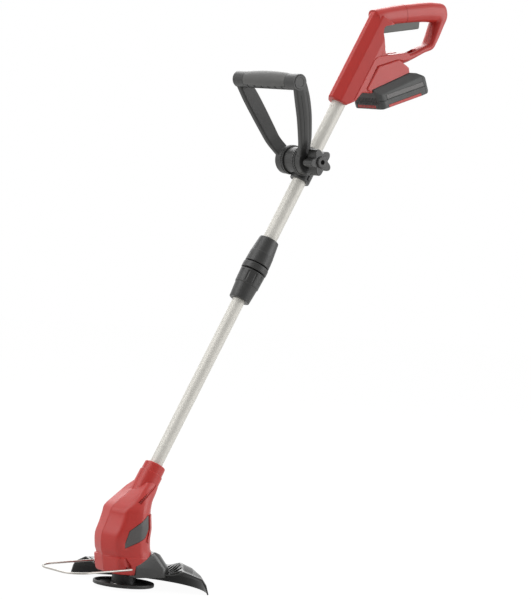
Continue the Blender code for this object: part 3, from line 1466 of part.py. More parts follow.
def makePack():
    whole = packBody()
    upper = copyOf(whole, "battery_upper_case")
    common(whole, packSlab(-0.2, packSeam - gap))
    common(upper, packSlab(packSeam, 0.2))
    join(upper, railSolid())
    rooms = [packInside()]
    for x, z in cellSpots():
        rooms.append(rod("cell_room", dock, (x, -cellLength / 2 - gap, z), (x, cellLength / 2 + gap, z), cellRadius + gap, steps=12))
    for index in range(frontRibCount):
        y = (index - (frontRibCount - 1) / 2) * frontRibPitch
        rooms.append(box("front_slot", dock, (packFront - 0.01, y - frontRibPitch / 4, stripTop() + 0.0010),
                         (packFront + 0.0008, y + frontRibPitch / 4, packSeam + 0.0100)))
    latchRoom = box("latch_room", dock, (packRear - latchDepth, -latchHalf - moveGap / 2, latchLow - moveGap / 2),
                    (0.4, latchHalf + moveGap / 2, latchHigh + moveGap / 2))
    combine(whole, rooms, "DIFFERENCE", True)
    cut(upper, latchRoom, *rooms)
    smooth(box("battery_release", dock, (packRear - latchDepth + latchTravel + gap, -latchHalf, latchLow),
               (packRear + latchProud, latchHalf, latchHigh), triggerGrey, 0.0010))
    for index, (x, z) in enumerate(cellSpots()):
        smooth(rod("battery_cell_%d" % (index + 1), dock, (x, -cellLength / 2, z), (x, cellLength / 2, z), cellRadius, cellBlue, 12))
    return whole, upper


def stripTop():
    return stripLow - packFrontDepth + stripHeight


def inlay(host, name, outline, side, thickness, material):
    """A flat piece let into one side of the pack, standing a little proud of it."""
    middle = side * (packHalf + stripProud - thickness / 2)
    cut(host, plate("seat", dock, insetOutline(outline, -gap), thickness / 2 + gap, None, 0.0, middle))
    smooth(plate(name, dock, outline, thickness / 2, material, 0.0, middle))


def packTrim(lower, upper):
    """Red strips low on both sides and the front, and the bare label plate on the left."""
    band = slopedBand(packFront + 0.0185, packRear - 0.0205, stripLow - packFrontDepth, stripTop())
    inlay(lower, "battery_strip_left", band, -1.0, stripDepth, redTrim)
    inlay(lower, "battery_strip_right", band, 1.0, stripDepth, redTrim)
    label = slopedBand(packFront + 0.0185, packRear - 0.0105, packSeam + 0.0012, packSeam + 0.0012 + labelHeight)
    inlay(upper, "battery_label", label, -1.0, labelThickness, labelGrey)
    low = (packFront - stripProud, -frontStripHalf, stripLow - packFrontDepth)
    high = (packFront - stripProud + stripDepth, frontStripHalf, stripTop())
    cut(lower, box("seat", dock, [value - gap for value in low], [value + gap for value in high]))
    smooth(box("battery_strip_front", dock, low, high, redTrim))


# Assembly

makeRearHousing()
makeTrigger()
makeTriggerPin()
makeTriggerSpring()
smooth(switchBlock("switch_box", 0.0, darkPlastic, 0.0008))
makeTerminals()
makeLockButton()
makeTubes()
makeSleeve()
makeClampFront()
makeClampRear()
finishHandle(makeHandle())
makeBoltAndKnob()
makeHeadShells()
makeBadge()
makeMotor()
makeDisc()
makeGuard()
makeGuardScrews()
makeBail()
lowerCase, upperCase = makePack()
packTrim(lowerCase, upperCase)
smooth(lowerCase)
smooth(upperCase)
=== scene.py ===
import json
from math import atan2, copysign, cos, pi, radians, sin, tan

import bmesh
import bpy
from mathutils import Matrix, Vector

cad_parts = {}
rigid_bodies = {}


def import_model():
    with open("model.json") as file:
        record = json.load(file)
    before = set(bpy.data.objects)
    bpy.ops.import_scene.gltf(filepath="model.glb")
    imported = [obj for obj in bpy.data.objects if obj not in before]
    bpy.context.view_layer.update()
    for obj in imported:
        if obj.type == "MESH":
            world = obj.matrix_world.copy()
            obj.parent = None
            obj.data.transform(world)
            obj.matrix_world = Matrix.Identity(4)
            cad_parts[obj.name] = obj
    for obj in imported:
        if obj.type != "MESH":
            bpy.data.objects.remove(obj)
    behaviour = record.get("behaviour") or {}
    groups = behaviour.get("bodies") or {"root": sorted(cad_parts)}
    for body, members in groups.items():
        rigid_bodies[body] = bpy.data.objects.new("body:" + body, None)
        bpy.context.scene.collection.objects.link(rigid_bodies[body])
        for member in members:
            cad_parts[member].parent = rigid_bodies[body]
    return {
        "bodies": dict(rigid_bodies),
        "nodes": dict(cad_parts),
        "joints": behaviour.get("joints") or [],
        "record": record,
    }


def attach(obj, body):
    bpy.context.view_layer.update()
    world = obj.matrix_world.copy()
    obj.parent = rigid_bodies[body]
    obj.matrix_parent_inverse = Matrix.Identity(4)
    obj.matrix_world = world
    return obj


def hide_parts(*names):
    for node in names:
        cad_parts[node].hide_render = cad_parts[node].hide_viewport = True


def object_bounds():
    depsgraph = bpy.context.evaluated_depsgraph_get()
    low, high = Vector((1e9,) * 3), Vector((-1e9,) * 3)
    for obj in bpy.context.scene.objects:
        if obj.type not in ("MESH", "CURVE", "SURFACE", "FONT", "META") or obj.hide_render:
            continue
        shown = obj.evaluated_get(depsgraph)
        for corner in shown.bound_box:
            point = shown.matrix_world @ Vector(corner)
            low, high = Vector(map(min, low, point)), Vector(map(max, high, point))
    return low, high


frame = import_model()
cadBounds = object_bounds()
nodes = frame["nodes"]
print("frame loaded:", len(nodes), "nodes")

scene = bpy.context.scene
scene.view_settings.view_transform = "Standard"


# materials

def addNode(tree, kind, sockets=None, **settings):
    # a socket takes a number, a colour, or the output that feeds it
    made = tree.nodes.new("ShaderNode" + kind)
    for key, value in settings.items():
        setattr(made, key, value)
    for key, value in (sockets or {}).items():
        if isinstance(value, bpy.types.NodeSocket):
            tree.links.new(value, made.inputs[key])
        else:
            made.inputs[key].default_value = value
    return made


def newMaterial(name):
    material = bpy.data.materials.new(name)
    material.use_nodes = True
    material.node_tree.nodes.clear()
    return material, material.node_tree


def noiseNode(tree, coords, scale, detail, roughness):
    values = {"Vector": coords, "Scale": scale, "Detail": detail, "Roughness": roughness}
    return addNode(tree, "TexNoise", values).outputs[0]


def rampNode(tree, source, stops):
    ramp = addNode(tree, "ValToRGB", {0: source})
    elements = ramp.color_ramp.elements
    for element, (position, colour) in ((elements[0], stops[0]), (elements[1], stops[-1])):
        element.position = position
        element.color = (*colour, 1)
    for position, colour in stops[1:-1]:
        elements.new(position).color = (*colour, 1)
    return ramp.outputs[0]


# slot, linear colour, share of it in the darker clouds, roughness, grain in cells a metre and bump; a metal adds
# how metallic it is
finishes = {
    "redShell": ("red_plastic", (0.46, 0.027, 0.021), 0.93, (0.34, 0.42), 2600, 0.05),
    "darkShell": ("black_plastic", (0.034, 0.034, 0.033), 0.8, (0.36, 0.46), 2200, 0.1),
    "softRubber": ("soft_grip", (0.082, 0.081, 0.078), 0.85, (0.46, 0.56), 1500, 0.18),
    "packShell": ("pack_plastic", (0.052, 0.054, 0.053), 0.82, (0.45, 0.58), 2400, 0.12),
    "triggerShell": ("trigger_plastic", (0.08, 0.082, 0.075), 0.85, (0.42, 0.52), 2600, 0.06),
    "badgePlate": ("badge_plastic", (0.08, 0.075, 0.073), 0.92, (0.34, 0.42), 4200, 0.03),
    "redTrim": ("red_trim", (0.47, 0.034, 0.028), 0.9, (0.4, 0.5), 3000, 0.06),
    "discShell": ("black_plastic", (0.016, 0.016, 0.015), 0.8, (0.34, 0.5), 1800, 0.1),
    "guardShell": ("black_plastic", (0.022, 0.022, 0.021), 0.8, (0.16, 0.24), 1400, 0.03),
    "cellWrap": ("", (0.05, 0.14, 0.33), 0.9, (0.32, 0.4), 3000, 0.02),
    "tubePaint": ("tube_aluminium", (0.64, 0.622, 0.575), 0.93, (0.46, 0.54), 2400, 0.01, 0.2),
    "steel": ("steel", (0.56, 0.555, 0.54), 0.93, (0.24, 0.34), 900, 0.03, 1.0),
    "platedWire": ("plated_wire", (0.47, 0.45, 0.42), 0.93, (0.26, 0.36), 700, 0.02, 1.0),
    "rotorCore": ("", (0.42, 0.22, 0.11), 0.93, (0.3, 0.42), 1200, 0.04, 1.0),
}
# scale and detail of the colour's clouds and of the roughness patches, the ramp's ends, and how high the grain is
surfaceKinds = {
    "plastic": {"clouds": (26.0, 3.0), "patches": (60.0, 4.0), "ends": (0.3, 0.68), "grainHigh": 0.0002,
                "fixed": {"IOR": 1.49}},
    "metal": {"clouds": (40.0, 4.0), "patches": (40.0, 4.0), "ends": (0.3, 0.7), "grainHigh": 0.0001, "fixed": {}},
}
cloudSoftness, grainDetail, grainSoftness = 0.6, 2.0, 0.5


def finishMaterial(name, slot, colour, shade, rough, grain, bump, metallic=0.0):
    kind = surfaceKinds["metal" if metallic else "plastic"]
    material, tree = newMaterial(name)
    coords = addNode(tree, "TexCoord").outputs["Object"]
    clouds, patches = (noiseNode(tree, coords, *kind[key], cloudSoftness) for key in ("clouds", "patches"))
    fine = noiseNode(tree, coords, grain, grainDetail, grainSoftness)
    dark = tuple(part * shade for part in colour)
    colours = rampNode(tree, clouds, list(zip(kind["ends"], (dark, colour))))
    roughness = addNode(tree, "MapRange", {"Value": patches, "To Min": rough[0], "To Max": rough[1]}).outputs[0]
    normal = addNode(tree, "Bump", {"Height": fine, "Strength": bump, "Distance": kind["grainHigh"]}).outputs[0]
    shader = addNode(tree, "BsdfPrincipled", {"Base Color": colours, "Roughness": roughness, "Normal": normal,
        "Metallic": metallic, **kind["fixed"]})
    addNode(tree, "OutputMaterial", {0: shader.outputs[0]})
    return material


materials = {name: finishMaterial(name, *values) for name, values in finishes.items()}
print("finishes ready:", len(materials))

nodeFinish = {
    "redShell": ["rear_shell_left", "rear_shell_right", "head_shell_left", "head_shell_right"],
    "tubePaint": ["upper_tube", "lower_tube"],
    "darkShell": ["sleeve_body", "sleeve_ring", "sleeve_nut", "switch_box", "terminal_block", "lock_button",
                  "clamp_front", "clamp_rear", "front_handle_frame", "handle_cap_left", "handle_cap_right",
                  "clamp_knob", "motor_end_bell"],
    "guardShell": ["guard"],
    "softRubber": ["front_handle_grip"],
    "packShell": ["battery_upper_case", "battery_lower_case", "battery_release"],
    "triggerShell": ["trigger"],
    "badgePlate": ["head_badge", "battery_label"],
    "redTrim": ["battery_strip_left", "battery_strip_right", "battery_strip_front"],
    "discShell": ["cutter_disc"],
    "cellWrap": ["battery_cell_%d" % n for n in range(1, 6)],
    "steel": ["trigger_pin", "trigger_spring", "clamp_bolt", "spindle", "spindle_bearing", "motor_can", "blade_pin",
              "guard_screw_1", "guard_screw_2"]
             + ["rear_screw_%d" % n for n in range(1, 5)] + ["head_screw_%d" % n for n in range(1, 4)],
    "platedWire": ["wire_bail"],
    "rotorCore": ["motor_rotor"],
}
finishOf = {node: name for name, members in nodeFinish.items() for node in members}
for node, name in finishOf.items():
    slots = nodes[node].data.materials
    slots.clear()
    slots.append(materials[name])


# frames and small building helpers; the code works in metres

def mm(values):
    # the tables give lengths in millimetres
    if isinstance(values, dict):
        return {key: mm(value) for key, value in values.items()}
    if isinstance(values, (list, tuple)):
        return type(values)(mm(value) for value in values)
    return round(values / 1000, 7)


def along(forward, upward):
    angle = layout["shaftAngle"]
    return Vector((forward * sin(angle) + upward * cos(angle), 0.0, upward * sin(angle) - forward * cos(angle)))


def frameAt(place, turn=0.0):
    return Matrix.Translation(place) @ Matrix.Rotation(turn, 4, "Y")


layout = {"shaftAngle": radians(62.9), "dockAngle": radians(24.9), "handleLean": radians(32.0),
    **mm({"gripAlong": 228.2, "gripBehind": 55.9, "sleeveTop": -277, "sleeveEnd": -397, "collarTop": -721,
    "headRef": -833, "headBack": 6.6, "headDown": 100, "dockX": -90, "dockZ": -140, "clampAt": -128,
    "pivotForward": 23})}
gripSpot = along(layout["gripBehind"], layout["gripAlong"])
shaft = frameAt(-gripSpot, pi / 2 - layout["shaftAngle"])
headSpot = along(0.0, layout["headRef"]) - gripSpot + Vector((layout["headBack"], 0.0, -layout["headDown"]))
head = frameAt(headSpot)
grip = Matrix.Identity(4)
dock = frameAt((layout["dockX"], 0.0, layout["dockZ"]), -layout["dockAngle"])
handle = frameAt(along(-layout["pivotForward"], layout["clampAt"]) - gripSpot, -layout["handleLean"])
sideways = Matrix.Rotation(-pi / 2, 4, "X")
gap = 0.0003
beyond = 0.2  # where a cutting tool ends, well outside the piece
farBeyond = 0.4  # the same for the longest pieces
bothSides = (-1.0, 1.0)


def itemFrom(name, work, frame):
    bmesh.ops.remove_doubles(work, verts=work.verts, dist=1e-7)
    bmesh.ops.recalc_face_normals(work, faces=work.faces)
    mesh = bpy.data.meshes.new(name)
    work.to_mesh(mesh)
    work.free()
    mesh.transform(frame)
    item = bpy.data.objects.new(name, mesh)
    scene.collection.objects.link(item)
    return item


def baked(item):
    bpy.context.view_layer.update()
    graph = bpy.context.evaluated_depsgraph_get()
    mesh = bpy.data.meshes.new_from_object(item.evaluated_get(graph))
    item.modifiers.clear()
    item.data = mesh
    return item


def bevelled(item, width, segments=3, angle=35.0):
    step = item.modifiers.new("bevel", "BEVEL")
    step.width = width
    step.segments = segments
    step.limit_method = "ANGLE"
    step.angle_limit = radians(angle)
    return baked(item)


def combine(item, others, operation):
    batch = bpy.data.collections.new("batch")
    scene.collection.children.link(batch)
    for other in others:
        batch.objects.link(other)
    step = item.modifiers.new(operation, "BOOLEAN")
    step.operation = operation
    step.solver = "MANIFOLD"
    step.operand_type = "COLLECTION"
    step.collection = batch
    baked(item)
    work = bmesh.new()
    work.from_mesh(item.data)
    bmesh.ops.remove_doubles(work, verts=work.verts, dist=1e-6)
    work.to_mesh(item.data)
    work.free()
    for other in others:
        bpy.data.objects.remove(other, do_unlink=True)
    bpy.data.collections.remove(batch)
    return item


def cut(item, *others):
    return combine(item, others, "DIFFERENCE")


def join(item, *others):
    return combine(item, others, "UNION")


def common(item, *others):
    return combine(item, others, "INTERSECT")


def copyOf(item, name):
    made = bpy.data.objects.new(name, item.data.copy())
    scene.collection.objects.link(made)
    return made


def box(name, frame, low, high, edge=0.0, segments=3):
    work = bmesh.new()
    bmesh.ops.create_cube(work, size=1.0)
    bmesh.ops.scale(work, verts=work.verts, vec=[h - l for l, h in zip(low, high)])
    bmesh.ops.translate(work, verts=work.verts, vec=[(h + l) / 2 for l, h in zip(low, high)])
    item = itemFrom(name, work, frame)
    return bevelled(item, edge, segments) if edge else item


def rod(name, frame, start, end, radius, steps=40, endRadius=None):
    start, end = Vector(start), Vector(end)
    work = bmesh.new()
    endRadius = radius if endRadius is None else endRadius
    bmesh.ops.create_cone(work, cap_ends=True, segments=steps, radius1=radius, radius2=endRadius,
        depth=(end - start).length)
    turn = (end - start).to_track_quat("Z", "Y").to_matrix().to_4x4()
    bmesh.ops.transform(work, matrix=Matrix.Translation((start + end) / 2) @ turn, verts=work.verts)
    return itemFrom(name, work, frame)


def turns(count):
    return [2 * pi * k / count for k in range(count)]


def rounded(points, steps=5):
    # corners as (x, z) or (x, z, radius)
    made = []
    for index, point in enumerate(points):
        here = Vector(point[:2])
        if len(point) < 3:
            made.append(here)
            continue
        before = (Vector(points[index - 1][:2]) - here).normalized()
        after = (Vector(points[(index + 1) % len(points)][:2]) - here).normalized()
        half = before.angle(after) / 2
        middle = here + (before + after).normalized() * point[2] / sin(half)
        first = here + before * point[2] / tan(half) - middle
        last = here + after * point[2] / tan(half) - middle
        start = atan2(first.y, first.x)
        sweep = (atan2(last.y, last.x) - start + pi) % (2 * pi) - pi
        for step in range(steps + 1):
            angle = start + sweep * step / steps
            made.append(middle + Vector((cos(angle), sin(angle))) * point[2])
    return made


def lathe(name, frame, profile, steps=72, spot=(0.0, 0.0, 0.0), tilt=None):
    # a profile of (radius, height) or (radius, height, corner radius), turned about Z
    line = rounded(profile, 4)
    loop = (line[0] - line[-1]).length < 1e-7
    work = bmesh.new()
    rings = []
    for point in line[:-1] if loop else line:
        if point.x < 1e-6:
            rings.append([work.verts.new((0.0, 0.0, point.y))] * steps)
        else:
            rings.append([work.verts.new((point.x * cos(a), point.x * sin(a), point.y)) for a in turns(steps)])
    for one, two in zip(rings, rings[1:] + (rings[:1] if loop else [])):
        for k in range(steps):
            n = (k + 1) % steps
            corners = []
            for vert in (one[k], one[n], two[n], two[k]):
                if vert not in corners:
                    corners.append(vert)
            if len(corners) > 2:
                work.faces.new(corners)
    return itemFrom(name, work, frame @ Matrix.Translation(spot) @ (tilt or Matrix.Identity(4)))


def plate(name, frame, points, half, edge=0.0, middle=0.0, flat=False, segments=3, steps=5, angle=35.0):
    # an outline in XZ, or XY if flat, given thickness to both sides
    outline = rounded(points, steps)
    work = bmesh.new()
    sides = []
    for reach in (middle - half, middle + half):
        sides.append([work.verts.new((p.x, p.y, reach) if flat else (p.x, reach, p.y)) for p in outline])
    work.faces.new(sides[0])
    work.faces.new(sides[1])
    for k in range(len(outline)):
        n = (k + 1) % len(outline)
        work.faces.new((sides[0][k], sides[0][n], sides[1][n], sides[1][k]))
    item = itemFrom(name, work, frame)
    return bevelled(item, edge, segments, angle) if edge else item


def loft(name, frame, rings, closed=False):
    work = bmesh.new()
    rows = [[work.verts.new(point) for point in ring] for ring in rings]
    count = len(rows[0])
    for one, two in zip(rows, rows[1:] + (rows[:1] if closed else [])):
        for k in range(count):
            n = (k + 1) % count
            work.faces.new((one[k], one[n], two[n], two[k]))
    if not closed:
        work.faces.new(rows[0])
        work.faces.new(rows[-1])
    return itemFrom(name, work, frame)


def superRing(middle, acrossA, acrossB, halfA, halfB, power, count):
    made = []
    for angle in turns(count):
        c, s = cos(angle), sin(angle)
        made.append(middle + acrossA * copysign(abs(c) ** (2 / power), c) * halfA
            + acrossB * copysign(abs(s) ** (2 / power), s) * halfB)
    return made


def eased(rows, steps):
    # rows of numbers with smooth rows between them
    made = []
    for index in range(len(rows) - 1):
        a, b = rows[max(index - 1, 0)], rows[index]
        c, d = rows[index + 1], rows[min(index + 2, len(rows) - 1)]
        for step in range(steps):
            t = step / steps
            made.append([0.5 * (2 * q + (r - p) * t + (2 * p - 5 * q + 4 * r - s) * t * t
                + (3 * q - p - 3 * r + s) * t ** 3) for p, q, r, s in zip(a, b, c, d)])
    made.append(list(rows[-1]))
    return made


def tube(name, frame, points, radius, sides=16, closed=False):
    # a round bar through the points
    points = [Vector(point) for point in points]
    rings = []
    normal = None
    for index, point in enumerate(points):
        before = points[index - 1] if index or closed else point
        after = points[(index + 1) % len(points)] if index + 1 < len(points) or closed else point
        heading = (after - before).normalized()
        if normal is None:
            normal = heading.orthogonal().normalized()
        normal = (normal - heading * normal.dot(heading)).normalized()
        across = heading.cross(normal)
        rings.append([point + normal * cos(a) * radius + across * sin(a) * radius for a in turns(sides)])
    return loft(name, frame, rings, closed)


def insetOutline(points, inset):
    made = []
    for index, point in enumerate(points):
        here = Vector(point[:2])
        before = (here - Vector(points[index - 1][:2])).normalized()
        after = (Vector(points[(index + 1) % len(points)][:2]) - here).normalized()
        inward = Vector((-before.y - after.y, before.x + after.x)).normalized()
        share = max(inward.dot(Vector((-before.y, before.x))), 0.5)
        made.append((*(here + inward * inset / share), *point[2:]))
    return made


def finished(item, body, node, angle=32.0):
    # shading, material and the bond to the frame
    name = finishOf[node]
    mesh = item.data
    mesh.materials.clear()
    mesh.materials.append(materials[name])
    mesh.polygons.foreach_set("use_smooth", [True] * len(mesh.polygons))
    mesh.set_sharp_from_angle(angle=radians(angle))
    item.modifiers.new("normals", "WEIGHTED_NORMAL").keep_sharp = True
    baked(item)
    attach(item, body)
    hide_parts(node)


# rear housing, trigger and lock button

column = mm({"length": 181.5, "low": 3, "endEdge": 2.4, "mouth": 12.8, "mouthDeep": 105,
    "corners": [(-24.5, -4.2, 5), (-11.5, -17.5, 6), (10, -22.2, 4), (21.5, -22.2, 3)],
    "slant": [(3, -10), (3, 4.5), (14, 18.5), (19, 40), (40, 52), (40, -10)]})


def columnSolid():
    side = column["corners"]
    ring = rounded(side + [(x, -y, r) for x, y, r in reversed(side)], 4)
    item = loft("column", shaft, [[Vector((p.x, p.y, z)) for p in ring] for z in (column["low"], column["length"])])
    bevelled(item, column["endEdge"], 3, 50.0)
    return cut(item, plate("slant", shaft, column["slant"], 0.1))


# x, z, half height and half width along the grip's closed loop, and its heading in degrees
loopPath = {"stations": [(*mm(row[:4]), row[4]) for row in [(-88, -17.3, 15.2, 15, 18.0), (-76, -14.1, 15.8, 16.5,
    17.0), (-56, -9.3, 16, 16.5, 16.0), (-30, -3.7, 16.8, 16.5, 13.0), (0, 1.8, 17, 16.5, 10.5),
    (26, 6.2, 17.6, 16.5, 8.0), (43, 8, 18, 16.5, 6.0), (60.4, 7.5, 20, 16.3, -31.0), (64.8, -1.6, 16, 16, -58.6),
    (61, -13, 10.5, 15.5, -108.0), (50.2, -43, 8, 15, -112.0), (44.2, -53.9, 7, 14.7, -130.0),
    (29, -60.8, 6.2, 14.5, -153.0), (5, -73.3, 6.5, 14.5, -153.0), (-15, -81.5, 8, 15, -162.0),
    (-35, -86, 8, 16, -168.0)]], "power": 2.6, "around": 48, "between": 5, "lineTurn": radians(47.0),
    **mm({"seamAt": -23.5, "seamWide": 0.7, "seamDeep": 0.6, "lineRadius": 0.5})}


def loopRing(row, grow=0.0):
    x, z, high, wide, heading = row
    turn = radians(heading)
    up = Vector((-sin(turn), 0.0, cos(turn)))
    return superRing(Vector((x, 0.0, z)), up, Vector((0.0, 1.0, 0.0)), high + grow, wide + grow, loopPath["power"],
        loopPath["around"])


def loopRows():
    return eased(loopPath["stations"], loopPath["between"])


def easedPoint(a, b, c, d, t):
    # a point between b and c on a smooth curve that can't overshoot where points crowd
    spots = [0.0]
    for one, two in ((a, b), (b, c), (c, d)):
        spots.append(spots[-1] + max((two - one).length, 1e-5) ** 0.5)
    s = spots[1] + (spots[2] - spots[1]) * t
    line = [a, b, c, d]
    for spans in ([(0, 1), (1, 2), (2, 3)], [(0, 2), (1, 3)], [(1, 2)]):
        shares = [(s - spots[i]) / (spots[j] - spots[i]) for i, j in spans]
        line = [p + (q - p) * share for p, q, share in zip(line, line[1:], shares)]
    return line[0]


def loopSolid():
    rings = [loopRing(row) for row in loopPath["stations"]]
    steps, last = loopPath["between"], len(rings) - 1
    made = []
    for k in range(last):
        four = [rings[max(k - 1, 0)], rings[k], rings[k + 1], rings[min(k + 2, last)]]
        made += [[easedPoint(*points, step / steps) for points in zip(*four)] for step in range(steps)]
    return loft("loop", grip, made + [rings[last]])


def seamRing(at):
    # a shallow groove right round the grip
    rows = loopRows()
    near = min(range(len(rows)), key=lambda k: abs(rows[k][0] - at) + (rows[k][1] < -0.03))
    row = list(rows[near])
    turn = radians(row[4])
    step = Vector((cos(turn), 0.0, sin(turn))) * loopPath["seamWide"] / 2
    outer, inner = [], []
    for side in (-1, 1):
        outer.append([point + step * side for point in loopRing(row, 0.004)])
        inner.append([point + step * side * 1.6 for point in loopRing(row, -loopPath["seamDeep"])])
    return cut(loft("seam", grip, outer), loft("seamCore", grip, inner))


def sideLine(side):
    # the parting line along the upper flank, from the seam ring to the rear corner
    points = []
    angle = loopPath["lineTurn"]
    for row in loopRows():
        if row[0] < loopPath["seamAt"] or row[1] < -0.012:
            continue
        turn = radians(row[4])
        up = Vector((-sin(turn), 0.0, cos(turn)))
        power = 2 / loopPath["power"]
        points.append(Vector((row[0], 0.0, row[1])) + up * cos(angle) ** power * row[2]
            + Vector((0.0, side, 0.0)) * sin(angle) ** power * row[3])
    return tube("line", grip, points, loopPath["lineRadius"], 8)


body = mm({"half": 23.5, "edge": 2.2, "outline": [(-137.3, -166.5), (-133, -167.5, 3), (-118.4, -151, 4),
    (-97.5, -150.8), (-107.5, -144), (-100.5, -125.5), (-89.3, -102.3), (-43.6, -86.2, 10), (-29, -86.5),
    (-13, -83), (-14, -74.5), (-21.5, -70.8, 2), (-69, -80), (-91.5, -85, 8), (-99, -92, 6)],
    "window": [(-76, -63), (-70.2, -79.3, 3), (-21.5, -70.1), (-14, -69.3), (10, -60), (10, -19), (-29.5, -19),
    (-57, -24), (-76, -29, 4), (-80, -34, 4), (-80.5, -42.4)], "web": [(-96, -105), (-64, -94), (-64, -81.5),
    (-70, -50), (-85, -60), (-94, -80)], "webHalf": 20.8})

foot = mm({"half": 25.8, "edge": 2.6, "outline": [(-13.7, -6), (83, -6), (85, 8, 3), (67.5, 29.5, 6), (16.5, 34, 6),
    (-21, 5, 3)], "channelFrom": 4, "neck": 17, "lip": 20, "roof": 8.8, "lipLow": 4.5, "packFrom": -10.8})


def channelCutter():
    # the T-shaped groove for the battery's rails, open to the rear
    neck, lip, low, roof = foot["neck"], foot["lip"], foot["lipLow"], foot["roof"]
    shape = [(-neck, -0.01), (neck, -0.01), (neck, low), (lip, low), (lip, roof), (-lip, roof), (-lip, low),
        (-neck, low)]
    return loft("channel", dock, [[Vector((x, y, z)) for y, z in shape] for x in (foot["channelFrom"], farBeyond)])


triggerShape = {"turn": radians(6.0), "bendShare": 0.56, **mm({"pivot": (-64, -24), "half": 8, "edge": 1.6,
    "clear": 1, "outline": [(-73, -40, 2), (-70, -42, 2), (14, -25, 3.5), (14, -9.5, 2), (-20, -14.5),
    (-56, -17, 3), (-72, -23, 3)], "roomFront": -74.2, "roomRear": 15.4, "roomLow": -100, "roomRoof": [(-56, -15.5),
    (-74.2, -20.5)]})}


def triggerRoom():
    # open below, and high enough for the trigger's swing
    t = triggerShape
    (end, high, _), (bend, bendHigh) = t["outline"][3:5]
    lift = (end - t["pivot"][0]) * tan(t["turn"])
    outline = [(t["roomFront"], t["roomLow"]), (t["roomRear"], t["roomLow"]),
        (t["roomRear"], high + lift + t["clear"]), (bend, bendHigh + lift * t["bendShare"] + t["clear"]),
        *t["roomRoof"]]
    return plate("triggerRoom", grip, outline, t["half"] + t["clear"] / 2)


lockShape = mm({"x": -48, "z": -2, "radius": 6.2, "proud": 3, "deep": 9, "edge": 1.2})
screwShape = mm({"head": 3.4, "shank": 1.6, "high": 2.2, "tipY": -8, "guardX": 8, "guardY": 34.5, "guardZ": 30,
    "guardLong": 22, "slot": (2.1, 0.4), "slotDeep": 1.3, "rear": [(-100, -128, 18.5), (-85, -52, 18.5),
    (60, 4.5, 12.5), (-43.2, -91.3, 18.5)]})


def drillScrews(item, frame, rows):
    for x, z, y in rows:
        cut(item, rod("screwHole", frame, (x, y - screwShape["high"], z), (x, 0.1, z), screwShape["head"] + gap,
            32))


def splitShells(outer, names, width):
    made = []
    for name, low, high in ((names[0], -width / 2, farBeyond), (names[1], -farBeyond, width / 2)):
        half = copyOf(outer, name)
        cut(half, box("other", grip, (-1.4, low, -1.6), (1.0, high, 0.6)))
        made.append(half)
    bpy.data.objects.remove(outer, do_unlink=True)
    return made


def makeRearHousing():
    item = plate("body", grip, body["outline"], body["half"], body["edge"], angle=50.0)
    proud = plate("foot", dock, foot["outline"], foot["half"], foot["edge"], angle=50.0)
    join(item, columnSolid(), proud, plate("web", grip, body["web"], body["webHalf"]))
    cut(item, plate("window", grip, body["window"], 0.1))
    join(item, loopSolid())
    for tool in (seamRing(loopPath["seamAt"]), sideLine(-1.0), sideLine(1.0), channelCutter(), triggerRoom()):
        cut(item, tool)
    cut(item, box("packSpace", dock, (foot["packFrom"], -beyond, -beyond), (farBeyond, beyond, 0.0)))
    cut(item, rod("mouth", shaft, (0, 0, -beyond), (0, 0, column["mouthDeep"]), column["mouth"], 64))
    cut(item, rod("lockHole", grip, (lockShape["x"], 0.004, lockShape["z"]), (lockShape["x"], 0.05, lockShape["z"]),
        lockShape["radius"] + 0.0005, 40))
    drillScrews(item, grip, screwShape["rear"])
    left, right = splitShells(item, ("rearShellLeft", "rearShellRight"), 0.0004)
    finished(left, "rear_housing", "rear_shell_left")
    finished(right, "rear_housing", "rear_shell_right")
    trigger = plate("triggerLever", grip, triggerShape["outline"], triggerShape["half"], triggerShape["edge"],
        segments=4)
    finished(trigger, "trigger", "trigger")
    button = lathe("lockButton", grip, [(0.0, lockShape["proud"]), (lockShape["radius"], lockShape["proud"],
        lockShape["edge"]), (lockShape["radius"], -lockShape["deep"] * 0.55), (0.0, -lockShape["deep"] * 0.55)], 48,
        (lockShape["x"], 0.0165, lockShape["z"]), sideways)
    finished(button, "lock_button", "lock_button")


def crossScrew(name, frame, spot, tilt, length):
    # a pan-headed screw with a cross recess, its head's top at the spot
    screw = lathe(name, frame, [(0.0, 0.0), (screwShape["head"], -0.0002, 0.0007),
        (screwShape["head"], -screwShape["high"]), (screwShape["shank"], -screwShape["high"]),
        (screwShape["shank"], -length), (0.0, -length)], 24, spot, tilt)
    turn = Matrix.Translation(spot) @ tilt
    for x, y in (screwShape["slot"], screwShape["slot"][::-1]):
        cut(screw, box("slot", frame @ turn, (-x, -y, -screwShape["slotDeep"]), (x, y, 0.001)))
    return screw


def makeScrews(frame, rows, body, name, node):
    for index, (x, z, y) in enumerate(rows, 1):
        screw = crossScrew("%s%d" % (name, index), frame, (x, y, z), sideways, y - screwShape["tipY"])
        finished(screw, body, "%s_%d" % (node, index))


makeRearHousing()
makeScrews(grip, screwShape["rear"], "rear_housing", "rearScrew", "rear_screw")
print("rear housing made")

# tubes and coupling

tubes = mm({"upperRadius": 12.5, "lowerRadius": 11.1, "upperWall": 1.1, "lowerWall": 1, "upperTop": 104.7,
    "lowerOverlap": 95, "inSleeve": 52, "inHead": 46})


def makeTubes():
    bottom = layout["sleeveTop"] - tubes["inSleeve"]
    rows = [("upperTube", tubes["upperRadius"], tubes["upperWall"], tubes["upperTop"], bottom, "rear_housing",
        "upper_tube"), ("lowerTube", tubes["lowerRadius"], tubes["lowerWall"], bottom + tubes["lowerOverlap"],
        layout["collarTop"] - tubes["inHead"], "lower_shaft", "lower_tube")]
    for name, outer, wall, high, low, bodyName, node in rows:
        item = lathe(name, shaft, [(outer, high), (outer, low), (outer - wall, low), (outer - wall, high),
            (outer, high)], 96)
        finished(item, bodyName, node)


